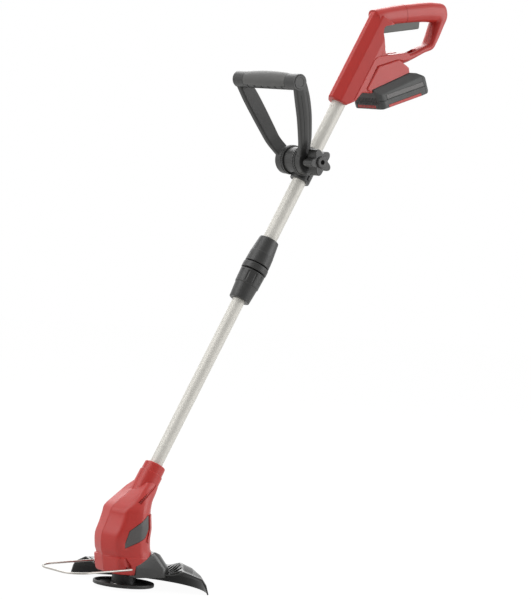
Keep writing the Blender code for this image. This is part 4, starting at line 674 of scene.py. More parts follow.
coupling = {"flutes": 10, **mm({"topRadius": 17.8, "bodyRadius": 22.4, "ringRadius": 23.2, "groove": 2.2,
    "ringLength": 11.5, "bodyLength": 50, "stepDrop": 25, "endRadius": 18.5, "fluteDeep": 1.3, "fluteHalf": 3.2,
    "fluteSpan": (-21.5, -3.5), "threadIn": 2.2, "threadLong": 20, "flare": 3.2, "flareLong": 28, "soft": 1.2,
    "clear": 0.5, "nutFloor": 1.5, "step": 1})}


def makeCoupling():
    c = coupling
    top = layout["sleeveTop"]
    end = layout["sleeveEnd"]
    bore = tubes["upperRadius"] + gap
    low = tubes["lowerRadius"] + c["clear"]
    thread = c["topRadius"] - c["threadIn"]
    bodyEnd = top - c["bodyLength"]
    ringTop = bodyEnd - c["groove"]
    ringEnd = ringTop - c["ringLength"]
    nutTop = ringEnd - c["groove"]
    threadEnd = nutTop - c["threadLong"]
    flareEnd = top - c["flareLong"]
    boreEnd = top - tubes["inSleeve"] - gap
    item = lathe("couplingBody", shaft, [(bore, top), (c["topRadius"], top, c["soft"]),
        (c["topRadius"] + c["flare"], flareEnd, c["step"] * 2), (c["bodyRadius"] - c["step"], flareEnd - c["step"],
        c["step"] / 2), (c["bodyRadius"], bodyEnd, c["step"]), (thread, bodyEnd), (thread, threadEnd),
        (low, threadEnd), (low, boreEnd), (bore, boreEnd), (bore, top)], 96)
    finished(item, "rear_housing", "sleeve_body")
    ring = lathe("couplingRing", shaft, [(thread + gap, ringTop), (c["ringRadius"], ringTop, c["soft"]),
        (c["ringRadius"], ringEnd, c["soft"]), (thread + gap, ringEnd), (thread + gap, ringTop)], 96)
    finished(ring, "rear_housing", "sleeve_ring")
    inner = thread + c["clear"]
    floor = threadEnd - c["nutFloor"]
    stepEnd = nutTop - c["stepDrop"]
    nut = lathe("couplingNut", shaft, [(inner, nutTop), (c["bodyRadius"], nutTop, c["soft"]),
        (c["bodyRadius"] - 0.0008, stepEnd, c["step"]), (c["endRadius"] + c["step"] * 2, stepEnd - c["soft"],
        0.0006), (c["endRadius"], end, 0.0014), (low, end), (low, floor), (inner, floor), (inner, nutTop)], 96)
    for angle in turns(c["flutes"]):
        out = c["bodyRadius"] + c["fluteHalf"] - c["fluteDeep"]
        spot = Vector((out * cos(angle), out * sin(angle), 0.0))
        ends = [spot + Vector((0, 0, nutTop + reach)) for reach in c["fluteSpan"]]
        cut(nut, rod("flute", shaft, *ends, c["fluteHalf"], 20))
    finished(nut, "sleeve_nut", "sleeve_nut")


makeTubes()
makeCoupling()
print("tubes and coupling made")

# front handle and its clamp

clamp = {"low": layout["clampAt"] - 0.0285, "high": layout["clampAt"] + 0.0175, "teeth": 40,
    **mm({"outer": 18, "half": 20, "barrel": 23, "ring": 26, "ringThick": 3.5, "toothDeep": 1, "lugIn": 12,
    "lugDeep": 6, "flat": 9, "bolt": 4, "boltHead": 7.5, "headHigh": 3.5, "edge": 1.5, "reach": 100, "endDrop": 0.5,
    "step": 1, "band": 11, "lugInset": 4, "soft": 1.2, "block": (-4, -6, 2.5)})}


def toothedRing(y0, y1):
    # a ratchet ring whose rim is a row of small teeth
    c = clamp
    points = []
    for k in range(c["teeth"]):
        for share, radius in ((0.0, c["ring"] - c["toothDeep"]), (0.35, c["ring"]), (0.75, c["ring"])):
            angle = 2 * pi * (k + share) / c["teeth"]
            points.append((-layout["pivotForward"] + radius * cos(angle), layout["clampAt"] + radius * sin(angle)))
    return plate("ring", shaft, points, (y1 - y0) / 2, middle=(y0 + y1) / 2)


def makeClamp():
    c = clamp
    at = layout["clampAt"]
    x = -layout["pivotForward"]
    front, rear = (lathe(name, shaft, [(0.0, c["high"]), (c["outer"], c["high"], c["edge"]),
        (c["outer"], c["low"], c["edge"]), (0.0, c["low"])], 72) for name in ("clampFront", "clampRear"))
    end, inner, band = c["half"] - c["endDrop"], c["barrel"] - c["step"], c["band"]
    barrel = lathe("barrel", shaft, [(0.0, end), (inner, end), (inner, band + 0.0002, 0.0004),
        (c["barrel"], band, 0.0006), (c["barrel"], -band, 0.0006), (inner, -band - 0.0002, 0.0004), (inner, -end),
        (0.0, -end)], 72, (x, 0.0, at), sideways)
    near, far, lift = c["block"]
    block = box("block", shaft, (x + near, -c["flat"], at), (far, c["flat"], at + c["barrel"] + lift), c["soft"])
    rings = []
    for side in bothSides:
        for outer in (c["half"], c["half"] - c["ringThick"] - c["step"]):
            rings.append(toothedRing(*sorted((side * (outer - c["ringThick"]), side * outer))))
    join(front, barrel, block, *rings)
    lugs = []
    for side in bothSides:
        near, far = sorted((side * c["lugIn"], side * c["half"]))
        lugs.append(box("lug", shaft, (0.0, near, c["low"] + c["lugInset"]),
            (c["lugDeep"], far, c["high"] - c["lugInset"]), c["soft"]))
    join(rear, *lugs)
    low, high = c["low"] - c["reach"], c["high"] + c["reach"]
    for half, near, far in ((front, -gap / 2, beyond), (rear, -beyond, gap / 2)):
        cut(half, box("otherSide", shaft, (near, -beyond, low), (far, beyond, high)))
        cut(half, rod("bore", shaft, (0, 0, low), (0, 0, high), tubes["upperRadius"] + gap, 64))
    cut(front, rod("boltHole", shaft, (x, -beyond, at), (x, beyond, at), c["bolt"] + gap, 32))
    finished(front, "handle_clamp", "clamp_front")
    finished(rear, "handle_clamp", "clamp_rear")


# a row of the arm has its height, its middle, its outer face and its depth
hoop = {"slots": 6, "between": 5, "grooveShares": (-0.22, 0.22), "capRing": (0.62, 0.68),
    **mm({"half": 84, "reach": 155, "bar": 14.2, "thick": 12, "ridge": 1.2, "cap": 12.2, "capDeep": 3, "seat": 33.8,
    "insertHalf": 56, "insertProud": 2.6, "insertDeep": 2.2, "insertFloor": 2, "insertRoom": 10, "barIn": 1,
    "capDish": 0.6, "capEdge": (0.4, 0.8), "slotPitch": 18.5, "slotHalf": 1.2, "slotDeep": 5, "slotOut": 4,
    "slotLow": 11.2, "slotHigh": 0.8, "grooveRadius": 0.5, "grooveSpan": (30, 135), "eye": 25, "eyeInner": 20.3,
    "eyeEdge": 1.6, "armSoft": 3.4, "armDrop": 0.6, "ridgeSoft": 4, "arm": [(-5, 0, 32, 30), (12, -3, 32.3, 28),
    (24, -4.8, 38.3, 26.4), (40, -4.5, 49.14, 26.4), (60, -2.6, 57.12, 28), (90, 0, 67.62, 29.8),
    (120, 1.2, 76.272, 29.8), (146.48, 1.5, 82.8, 26)]})}


def armRows():
    return eased(hoop["arm"], hoop["between"])


def armSolid(side):
    rings = []
    for height, middle, outer, depth in armRows():
        near, half = outer - hoop["thick"], depth / 2
        edge, soft = outer - hoop["armDrop"], hoop["armSoft"]
        corners = rounded([(middle - half, near, soft), (middle + half, near, soft), (middle + half, edge, soft),
            (middle, outer + hoop["ridge"], hoop["ridgeSoft"]), (middle - half, edge, soft)], 5)
        rings.append([Vector((point.x, side * point.y, height)) for point in corners])
    return loft("arm", handle, rings)


def armGroove(side, share):
    # a fine line along the arm's outer face
    low, high = hoop["grooveSpan"]
    rows = [row for row in armRows() if low < row[0] < high]
    points = [(middle + depth * share, side * (outer + 0.0002), height) for height, middle, outer, depth in rows]
    return tube("armLine", handle, points, hoop["grooveRadius"], 8)


def insertSolid(name, extra, room=False):
    h = hoop
    end = h["insertHalf"] + extra
    crown = [(0.0, end)]
    steps = 10
    for k in range(steps + 1):
        share = 2 * k / steps - 1
        rise = h["insertRoom"] if room else h["insertProud"] * (1 - share * share)
        crown.append((h["bar"] + rise, -end * share))
    crown.append((0.0, -end))
    cover = lathe(name, handle, crown, 72, (0.0, 0.0, h["reach"]), sideways)
    cut(cover, box("under", handle, (-beyond, -beyond, -beyond),
        (beyond, beyond, h["reach"] - h["insertFloor"] - extra)))
    return cut(cover, rod("core", handle, (0, -beyond, h["reach"]), (0, beyond, h["reach"]),
        h["bar"] - h["insertDeep"] - extra, 64))


def makeHoop():
    h = hoop
    bar = rod("hoopFrame", handle, (0, h["barIn"] - h["half"], h["reach"]), (0, h["half"] - h["barIn"], h["reach"]),
        h["bar"], 72)
    eyes = []
    for side in bothSides:
        eyes.append(lathe("eye", handle, [(0.0, h["seat"] - gap), (h["eye"], h["seat"] - gap, h["eyeEdge"]),
            (h["eye"], h["eyeInner"]), (0.0, h["eyeInner"])], 72, (0, 0, 0), Matrix.Rotation(-side * pi / 2, 4,
            "X")))
    join(bar, armSolid(-1.0), armSolid(1.0), *eyes)
    cut(bar, rod("boltHole", handle, (0, -beyond, 0), (0, beyond, 0), clamp["bolt"] + gap, 36))
    for side in bothSides:
        cut(bar, rod("capSeat", handle, (0, side * (h["half"] - h["capDeep"] - gap), h["reach"]),
            (0, side * beyond, h["reach"]), h["cap"] + gap, 64))
        for share in h["grooveShares"]:
            cut(bar, armGroove(side, share))
    for k in range(h["slots"]):
        y = (k - (h["slots"] - 1) / 2) * h["slotPitch"]
        cut(bar, box("slot", handle, (-h["bar"] - h["slotOut"], y - h["slotHalf"], h["reach"] - h["slotLow"]),
            (-h["bar"] + h["slotDeep"], y + h["slotHalf"], h["reach"] + h["slotHigh"])))
    cut(bar, insertSolid("seat", gap * 2, True))
    finished(bar, "front_handle", "front_handle_frame")
    finished(insertSolid("hoopGrip", 0.0), "front_handle", "front_handle_grip")
    (dish, rim), (fine, edge) = h["capRing"], h["capEdge"]
    for side, name, node in ((-1.0, "hoopCapLeft", "handle_cap_left"), (1.0, "hoopCapRight", "handle_cap_right")):
        cap = lathe(name, handle, [(0.0, -h["capDish"]), (h["cap"] * dish, -h["capDish"], fine),
            (h["cap"] * rim, 0.0, fine), (h["cap"], 0.0, edge), (h["cap"], -h["capDeep"]), (0.0, -h["capDeep"])],
            64, (0.0, side * h["half"], h["reach"]), Matrix.Rotation(-side * pi / 2, 4, "X"))
        finished(cap, "front_handle", node)


knob = {"lobes": 5, "around": 140, "first": radians(86.0), **mm({"valley": 14.8, "tip": 24, "standOff": 7.8,
    "deep": 21.5, "neck": 9, "hub": 10.5, "hubProud": 3.5, "edge": 1.8, "lap": 2, "boltIn": 5})}


def makeKnob():
    k = knob
    seat = hoop["seat"]
    near, far = seat + k["standOff"], seat + k["standOff"] + k["deep"]
    points = []
    for angle in turns(k["around"]):
        wave = (1 + cos(k["lobes"] * (angle - k["first"]))) / 2
        radius = k["valley"] + (k["tip"] - k["valley"]) * wave ** 0.75
        points.append((radius * cos(angle), radius * sin(angle)))
    item = plate("clampKnob", handle, points, k["deep"] / 2, k["edge"], -(near + far) / 2, angle=50.0)
    core = lathe("core", handle, [(0.0, far + k["hubProud"]), (k["hub"], far + k["hubProud"], 0.0014),
        (k["hub"], far - k["lap"]), (k["neck"], near + k["lap"]), (k["neck"], seat), (0.0, seat)], 64, (0, 0, 0),
        Matrix.Rotation(pi / 2, 4, "X"))
    join(item, core)
    cut(item, rod("hole", handle, (0, 0, 0), (0, -beyond, 0), clamp["bolt"] + gap, 32))
    finished(item, "clamp_knob", "clamp_knob")
    end = far - k["boltIn"]
    bolt = lathe("clampBolt", handle, [(0.0, seat + clamp["headHigh"]),
        (clamp["boltHead"], seat + clamp["headHigh"], 0.001), (clamp["boltHead"], seat), (clamp["bolt"], seat),
        (clamp["bolt"], -end, 0.0006), (0.0, -end)], 32, (0, 0, 0), sideways)
    finished(bolt, "handle_clamp", "clamp_bolt")


makeClamp()
makeHoop()
makeKnob()
print("front handle made")

# motor head

# height, front at the seam, front crease (back, out), widest spot (back, out), rear at the seam
headForm = {"between": 3, "back": 12, "cells": 6,
    **mm({"stations": [(17, -41, -34, 30, -4, 43.5, 44), (21, -44.5, -38.5, 34, -4, 46, 46),
    (43.5, -49.5, -42.5, 36.2, -4, 48, 48), (47, -50, -39.8, 34.9, -5, 47.6, 47.5), (51, -51.5, -41.2, 34.4, -6,
    47.4, 46.5), (59.5, -54.5, -45.5, 33, -8, 46.8, 37.5), (80, -56, -47, 33.5, -10, 46.5, 35),
    (98, -50, -40, 34.5, -10, 46.5, 34.3), (115, -43.5, -35, 34.8, -9, 45.5, 31), (127, -39.8, -32, 34.5, -7, 43.8,
    30.5), (140, -25.5, -18, 32.5, -1, 39, 34), (151, -10.8, -6, 29.2, 5, 33, 42), (161, 2.6, 4, 25.5, 12, 27, 48),
    (167, 10.6, 10.8, 22.2, 18, 23.5, 49), (171.5, 15, 15.5, 19, 22, 20.5, 49)], "crease": 7, "ridge": 3,
    "earProud": 1.6, "ear": [(10.5, 119, 2), (13.5, 94.5, 4), (8, 74.5, 2), (14, 71, 2), (22.5, 94, 4),
    (19, 121, 2)], "collar": [(0, -721), (17.2, -721, 0.6), (18.6, -722.6, 0.8), (19, -737, 0.4), (20.4, -738, 0.6),
    (20.8, -781), (0, -781)], "wedge": [(-11.5, 33), (26.5, 56)], "wedgeLow": -20, "wedgeRear": 90, "wedgeHalf": 80,
    "spigot": 30, "vent": [(34, 20.7, 166.7), (9.3, 32.5, 152.6), (-10, 36.5, 137.7)], "ventLift": -0.4,
    "ventRadius": (1.4, 3.4), "cellRadius": 1, "cellPitch": 4.2, "hollow": [(-19, 26, 1), (-19, 33, 2),
    (-30.8, 47.5, 2), (-34, 44, 2), (-29, 26, 1)], "hollowHalf": 38.5, "motorRoom": (41.5, 108.5, 19),
    "bearingRoom": (-10, 42, 11.3), "pivot": (-25, 36.7, 29), "pivotRoom": 2.05, "screws": [(-36, 56, 32),
    (-28, 118, 33), (24, 100, 25)]})}


def bentCorner(before, corner, after, steps):
    # a soft corner as a quadratic curve
    return [before * (1 - t) ** 2 + corner * 2 * t * (1 - t) + after * t * t
        for t in [k / steps for k in range(steps + 1)]]


def headRing(row, inset=0.0):
    height, front, creaseX, creaseY, wideX, wideY, rear = row
    ridge, crease, widest = Vector((front, 0.0)), Vector((creaseX, creaseY)), Vector((wideX, wideY))
    soft = min(headForm["crease"], (widest - crease).length * 0.4)
    toRidge = crease + (ridge - crease).normalized() * soft
    toSide = crease + (widest - crease).normalized() * soft
    lip = ridge.lerp(crease, headForm["ridge"] / max((crease - ridge).length, 0.004))
    half = [Vector((lip.x * 0.6 + ridge.x * 0.4, lip.y * 0.45)), lip, lip.lerp(toRidge, 0.5)]
    half += bentCorner(toRidge, crease, toSide, 5)
    half += [toSide.lerp(widest, 0.5) + (crease - (toRidge + toSide) / 2) * 0.12]
    for step in range(headForm["back"]):
        angle = pi / 2 * (1 - step / headForm["back"])
        half.append(Vector((widest.x + (rear - widest.x) * cos(angle), widest.y * sin(angle))))
    tip = (lip.x * 0.5 + ridge.x * 0.5, 0.0)
    outline = [(tip[0], 0.0)] + [(point.x, -point.y) for point in half] + [(rear, 0.0)]
    outline += [(point.x, point.y) for point in reversed(half)]
    return [Vector((x, y, height)) for x, y in insetOutline(outline, inset)]


def headSolid(inset=0.0, low=0.0, high=1.0):
    rows = [row for row in eased(headForm["stations"], headForm["between"]) if low <= row[0] <= high]
    return loft("head", head, [headRing(row, inset) for row in rows])


def wedge(name, extra=0.0):
    (frontX, lowZ), (rearX, highZ) = headForm["wedge"]
    low, rear = headForm["wedgeLow"], headForm["wedgeRear"]
    return plate(name, head, [(frontX + extra, low), (frontX + extra, lowZ - extra), (rearX, highZ - extra),
        (rear, highZ - extra), (rear, low)], headForm["wedgeHalf"])


def ventTools(side):
    # a tapered groove and a row of cells down its lower part
    line = [Vector((x, side * (y + headForm["ventLift"]), z)) for x, y, z in headForm["vent"]]
    thin, thick = headForm["ventRadius"]
    tools = [rod("groove", head, line[0], line[1], thin, 16, (thin + thick) / 2),
        rod("groove", head, line[1] + (line[0] - line[1]).normalized() * 0.0004, line[2], (thin + thick) / 2, 16,
        thick)]
    up = [line[2], line[1], line[0]]
    for index in range(headForm["cells"]):
        reach = headForm["cellPitch"] * (index + 0.6)
        first = (up[1] - up[0]).length
        if reach < first:
            spot = up[0].lerp(up[1], reach / first)
        else:
            spot = up[1].lerp(up[2], (reach - first) / (up[2] - up[1]).length)
        tools.append(rod("cell", head, spot, (spot.x, spot.y - side * 0.0055, spot.z), headForm["cellRadius"], 10))
    return tools


badge = mm({"outline": [(-36.2, 60.8, 2), (2.5, 81.5, 5), (10.5, 96), (8, 120.5, 2), (-27.5, 92, 6)], "thick": 1.6,
    "gap": 0.8, "half": 20, "middle": -58, "edge": 0.4})


def badgePrism(name, extra):
    return plate(name, head, insetOutline(badge["outline"], -extra), badge["half"], middle=badge["middle"])


def guardScrew(name, side, extra, reach):
    s = screwShape
    return lathe(name, head, [(0.0, s["guardLong"] + extra), (s["shank"] + extra, s["guardLong"] + extra),
        (s["shank"] + extra, extra), (s["head"] + extra, extra), (s["head"] + extra, -reach), (0.0, -reach)], 24,
        (s["guardX"], side * s["guardY"], s["guardZ"]))


def makeHead():
    form = headForm
    item = headSolid()
    ear = common(headSolid(-form["earProud"], 0.0594, 0.1271), plate("ear", head, form["ear"], beyond))
    join(item, lathe("collar", shaft, form["collar"], 96), ear)
    corner = wedge("corner")
    cut(corner, rod("core", head, (0, 0, -0.1), (0, 0, beyond), form["spigot"], 72))
    cut(item, corner)
    cut(item, badgePrism("badgeSeat", badge["gap"]))
    for name in ("motorRoom", "bearingRoom"):
        low, high, radius = form[name]
        cut(item, rod(name, head, (0, 0, low), (0, 0, high), radius, 40))
    cut(item, rod("tubeRoom", shaft, (0, 0, layout["collarTop"] - tubes["inHead"]),
        (0, 0, layout["collarTop"] + 0.1), tubes["lowerRadius"] + gap, 60))
    for side in bothSides:
        for tool in ventTools(side):
            cut(item, tool)
        far = sorted((side * form["hollowHalf"], side * 0.1))
        cut(item, plate("hollow", head, form["hollow"], (far[1] - far[0]) / 2, middle=sum(far) / 2))
        x, y, z = form["pivot"]
        cut(item, rod("pivotHole", head, (x, side * y, z), (x, side * beyond, z), form["pivotRoom"], 24))
        cut(item, guardScrew("screwRoom", side, gap, 0.03))
    drillScrews(item, head, form["screws"])
    left, right = splitShells(item, ("headShellLeft", "headShellRight"), 0.0005)
    finished(left, "lower_shaft", "head_shell_left")
    finished(right, "lower_shaft", "head_shell_right")
    pad = common(headSolid(0.0, 0.05, 0.13), badgePrism("badge", 0.0))
    cut(pad, headSolid(badge["thick"], 0.04, 0.14))
    pad.name = "headBadge"
    bevelled(pad, badge["edge"], 2, 40.0)
    finished(pad, "lower_shaft", "head_badge")
    makeScrews(head, form["screws"], "lower_shaft", "headScrew", "head_screw")
    for index, side in ((1, -1.0), (2, 1.0)):
        screw = guardScrew("guardScrew%d" % index, side, 0.0, screwShape["high"])
        finished(screw, "lower_shaft", "guard_screw_%d" % index)


# disc, guard and wire plant guard

disc = {"pinTurn": radians(212.0), **mm({"radius": 52, "hub": 20, "hubTop": 14.5, "floor": -3.5, "under": -6,
    "bore": 4.3, "boreFloor": 0.5, "rimTop": 1.2, "rimLow": -4.5, "pinAt": 40, "pin": 2.2, "pinHigh": 7,
    "pinFrom": 1.5, "pinSoft": 0.8, "soft": 1, "edge": 1.2, "foot": 2.5, "rimIn": 6.5, "rimFlat": 3, "rimSoft": 0.6,
    "dish": 16, "dishSoft": 6})}


def makeDisc():
    d = disc
    r, soft, edge = d["radius"], d["soft"], d["edge"]
    item = lathe("cutterDisc", head, [(d["bore"], d["hubTop"]), (d["hub"], d["hubTop"], edge),
        (d["hub"] + soft, d["floor"] + soft * 2, soft), (d["hub"] + d["foot"], d["floor"], soft),
        (r - d["rimIn"], d["floor"], soft * 2), (r - d["rimFlat"], d["rimTop"], d["rimSoft"]),
        (r, d["rimTop"], soft), (r, d["rimLow"], edge), (r - d["dish"], d["under"], d["dishSoft"]),
        (0.0, d["under"]), (0.0, d["boreFloor"]), (d["bore"], d["boreFloor"]), (d["bore"], d["hubTop"])], 120)
    x, y = d["pinAt"] * cos(d["pinTurn"]), d["pinAt"] * sin(d["pinTurn"])
    join(item, rod("boss", head, (x, y, d["floor"] - soft), (x, y, d["floor"] + d["foot"]), d["pin"] + d["foot"],
        32))
    cut(item, rod("hole", head, (x, y, d["under"] + edge), (x, y, 0.05), d["pin"] + gap, 32))
    finished(item, "spindle", "cutter_disc")
    pin = lathe("bladePin", head, [(0.0, d["pinHigh"]), (d["pin"], d["pinHigh"], d["pinSoft"]),
        (d["pin"], d["pinFrom"]), (0.0, d["pinFrom"])], 32, (x, y, d["under"]))
    finished(pin, "spindle", "blade_pin")


# azimuth in degrees, then radius and height of the ridge, the knee and the shoulder
guardForm = {"stations": [(row[0], *mm(row[1:])) for row in [(-40.0, 99, 25.5, 113, 21.5, 133, 15.5),
    (-30.0, 98.5, 33, 116.5, 26.2, 131, 19), (-20.0, 98, 38.5, 119.5, 30, 129, 21.5), (-8.0, 98.5, 33.5, 117, 26.2,
    131, 18.5), (3.0, 99, 27.5, 115, 22, 134, 15.5), (95.0, 108, 26.5, 118, 22, 135, 14)]], "from": -40.0,
    "to": 92.0, "sections": 66, "blur": 4.0, "ribs": 19, "ribFrom": 0.86, "ribTo": 0.9,
    **mm({"wall": 2.4, "plate": (83, 15.5, 4.5), "lip": (140, 6.5), "skirt": (145, -8.5), "soft": 3, "ribHalf": 0.9,
    "ribHigh": 3.2, "block": [(13.3, 75.7, 46.2), (29, 71.7, 45.7), (50, 53.7, 43.7), (57, 45.7, 42.7)],
    "blockFront": -40, "blockCorner": 28, "blockEdge": 1.4, "over": (3.5, 0.4, 90, 38, 80), "ribSink": (1.2, 1.4),
    "ribFoot": 0.5, "ribTip": 0.2})}


def guardRow(azimuth):
    rows = guardForm["stations"]
    azimuth = min(max(azimuth, rows[0][0]), rows[-1][0])
    for one, two in zip(rows, rows[1:]):
        if azimuth <= two[0]:
            share = (azimuth - one[0]) / (two[0] - one[0])
            return [a + (b - a) * share for a, b in zip(one[1:], two[1:])]


def guardLine(azimuth):
    near = [guardRow(azimuth + turn * guardForm["blur"]) for turn in (-1, -0.5, 0, 0.5, 1)]
    row = [sum(values) / len(near) for values in zip(*near)]
    plateEnd, plateTop, rise = guardForm["plate"]
    soft = guardForm["soft"]
    corners = [(headForm["spigot"] + gap, plateTop), (plateEnd, plateTop + rise, soft), (row[0], row[1], soft),
        (row[2], row[3], soft), (row[4], row[5], soft), (*guardForm["lip"], soft * 0.6), guardForm["skirt"]]
    return rounded(corners, 3)


def thickened(line, thickness):
    under = []
    for index, here in enumerate(line):
        before = (here - line[index - 1]).normalized() if index else Vector((0.0, 0.0))
        after = (line[index + 1] - here).normalized() if index + 1 < len(line) else Vector((0.0, 0.0))
        heading = (before + after).normalized()
        segment = after if after.length else before
        under.append(here + Vector((heading.y, -heading.x)) * thickness / max(heading.dot(segment), 0.5))
    return line + under[::-1]


def guardSection(azimuth):
    angle = radians(azimuth)
    outline = thickened(guardLine(azimuth), guardForm["wall"])
    return [Vector((point.x * cos(angle), point.x * sin(angle), point.y)) for point in outline]


def guardRib(azimuth):
    # a thin gusset in the hollow between the plate and the ridge
    line = guardLine(azimuth)
    start, edge, ridge = line[0], line[2], line[6]
    inner, outer = start.lerp(edge, guardForm["ribFrom"]), edge.lerp(ridge, guardForm["ribTo"])
    (sink, deep), foot, tip = guardForm["ribSink"], guardForm["ribFoot"], guardForm["ribTip"]
    turned = head @ Matrix.Rotation(radians(azimuth), 4, "Z")
    return plate("rib", turned, [(inner.x, inner.y - sink), (edge.x, edge.y - deep), (outer.x, outer.y - deep),
        (outer.x, outer.y + foot), (edge.x - foot, edge.y + guardForm["ribHigh"]), (inner.x, inner.y + tip)],
        guardForm["ribHalf"])


def makeGuard():
    g = guardForm
    angles = [g["from"] + (g["to"] - g["from"]) * k / g["sections"] for k in range(g["sections"] + 1)]
    item = loft("rearGuard", head, [guardSection(angle) for angle in angles])
    rings = []
    for height, rear, half in g["block"]:
        corners = rounded([(g["blockFront"], -half), (rear, -half, g["blockCorner"]),
            (rear, half, g["blockCorner"]), (g["blockFront"], half)], 10)
        rings.append([Vector((point.x, point.y, height)) for point in corners])
    block = common(loft("block", head, rings), wedge("corner", gap))
    step, lift, rear, low, high = g["over"]
    x, z = headForm["wedge"][1][0] + step, headForm["wedge"][1][1] + lift
    cut(block, plate("over", head, [(x, z), (rear, low), (rear, high), (x, high)], beyond))
    bevelled(block, g["blockEdge"], 3, 40.0)
    pitch = (g["to"] - g["from"]) / g["ribs"]
    join(item, block)
    for k in range(g["ribs"]):
        join(item, guardRib(g["from"] + pitch * (k + 0.5)))
    cut(item, rod("core", head, (0, 0, -0.1), (0, 0, beyond), headForm["spigot"] + gap, 72))
    for side in bothSides:
        cut(item, guardScrew("screwRoom", side, gap, 0.03))
    finished(item, "lower_shaft", "guard", 28.0)


wireGuard = mm({"radius": 1.75, "half": 53.5, "pivot": (-25, 29), "reach": 123, "corner": 33, "drop": 7,
    "end": 16.5, "bend": 3})


def makeWireGuard():
    w = wireGuard
    slope = w["drop"] / w["reach"]
    side = [(0.0, w["end"] - w["half"])]
    for k in range(9):
        angle = pi / 2 * k / 8
        side.append((-w["bend"] * (1 - cos(angle)), -w["half"] + w["bend"] * (1 - sin(angle))))
    for k in range(17):
        angle = pi / 2 * k / 16
        side.append((-w["reach"] + w["corner"] * (1 - sin(angle)), -w["half"] + w["corner"] * (1 - cos(angle))))
    outline = side + [(x, -y) for x, y in reversed(side)]
    points = [(w["pivot"][0] + x, y, w["pivot"][1] + slope * x) for x, y in outline]
    finished(tube("wireGuard", head, points, w["radius"], 20), "wire_bail", "wire_bail", 50.0)


makeHead()
makeDisc()
makeGuard()
makeWireGuard()
print("head, disc and guards made")

# battery pack, in the dock's frame

pack = {"cells": 5, "combs": 15, "slits": 4, **mm({"front": -9.3, "length": 118, "half": 37.5, "frontDeep": 38.5,
    "rearDeep": 47.5, "split": 15.2, "top": -0.5, "shoulderDrop": 12.5, "shoulderIn": 11, "shoulderSoft": 7,
    "corner": 12, "rearCorner": 6, "lowSoft": 1.6, "wall": 2.2, "line": 0.5, "capAt": 97.5, "bumperOut": 0.8,
    "bumperTop": -24.2, "neck": 16.5, "lip": 19.5, "railHigh": 8.5, "railLip": 3.5, "railSink": -4, "railFrom": 6,
    "railLong": 70, "slitTo": 65.5, "slitPitch": 6, "slitHalf": 1.2, "slitLow": 1.5, "cellRadius": 9.2,
    "cellLong": 65, "cellFirst": 15, "cellDrop": 2.5, "midRib": 1.2, "pocketWall": 3, "slabSpan": (-300, 400),
    "cellPitch": 19, "latchHalf": 15, "latchZ": (-28.5, -21.5), "latchDeep": 11, "latchTravel": 2.5,
    "latchProud": 0.6, "moveGap": 1, "strip": (9.2, 88.2, 0.6, 5.6), "stripDeep": 1.6, "stripProud": 0.4,
    "stripEdge": 0.6, "notchHalf": 0.8, "notchDeep": 1, "ribHalf": 0.6, "ribDeep": (0.2, 0.9), "past": 10,
    "labelEdge": 0.2, "frontStrip": (24, -35.4, -30), "label": (9.2, 98.2, 1.2, 9), "labelDeep": 0.8,
    "combPitch": 4, "combHalf": 1, "combDeep": 0.8, "combZ": (-28.4, -16)})}
packRear = pack["front"] + pack["length"]
packSlope = (pack["rearDeep"] - pack["frontDeep"]) / pack["length"]
packSeam = pack["split"] - pack["frontDeep"]


def packLow(x):
    return -pack["frontDeep"] - packSlope * (x - pack["front"])


def packForm(name, inset=0.0):
    # the side outline, cut to the cross-section and to the plan with its wide front corners
    p = pack
    front, rear, top = p["front"], packRear, p["top"]
    outline = [(front, packLow(front) + 0.001, 0.003), (front + 0.006, packLow(front + 0.006), 0.004),
        (rear - 0.02, packLow(rear - 0.02), 0.006), (rear - 0.006, 0.0015 - p["rearDeep"], 0.005),
        (rear - 0.0018, 0.0065 - p["rearDeep"], 0.004), (rear, -0.021, 0.005), (rear - 0.006, -0.013, 0.005),
        (rear - 0.015, -0.005, 0.005), (rear - 0.026, top, 0.004), (front, top, 0.002)]
    item = plate(name, dock, insetOutline(outline, inset), p["half"])
    rings = []
    for x in (front - 0.02, rear + 0.02):
        half = p["half"]
        side = [(half, packLow(x), p["lowSoft"]), (half, -p["shoulderDrop"], p["shoulderSoft"]),
            (half - p["shoulderIn"], top + 0.0002, p["shoulderSoft"])]
        shape = rounded(insetOutline(side + [(-y, *rest) for y, *rest in reversed(side)], inset), 8)
        rings.append([Vector((x, point.x, point.y)) for point in shape])
    half = p["half"]
    plan = [(front, -half, p["corner"]), (rear, -half, p["rearCorner"]), (rear, half, p["rearCorner"]),
        (front, half, p["corner"])]
    common(item, loft("section", dock, rings))
    return common(item, plate("plan", dock, insetOutline(plan, inset), beyond, flat=True, steps=12))


def packBand(x0, x1, low, high):
    # four corners of a band that runs with the pack's sloping bottom
    return [(x, z - packSlope * (x - pack["front"])) for x, z in ((x0, low), (x1, low), (x1, high), (x0, high))]


def packSlab(low, high):
    return plate("slab", dock, packBand(*pack["slabSpan"], low, high), beyond)


def packLines(core):
    # fine lines round the pack: the seam of its two cases and the edge of its rear cap
    width = pack["line"]
    ring = packSlab(packSeam - width, packSeam + width)
    x = pack["capAt"]
    join(ring, plate("cap", dock, [(x, 0.03), (x + 0.003, -0.08), (x + 0.003 + width, -0.08), (x + width, 0.03)],
        0.19))
    return cut(ring, core)


def inlay(host, name, node, outline, side, depth, edge):
    middle = side * (pack["half"] + pack["stripProud"] - depth / 2)
    cut(host, plate("seat", dock, insetOutline(outline, -gap), depth / 2 + gap, middle=middle))
    finished(plate(name, dock, outline, depth / 2, edge, middle), "battery", node)


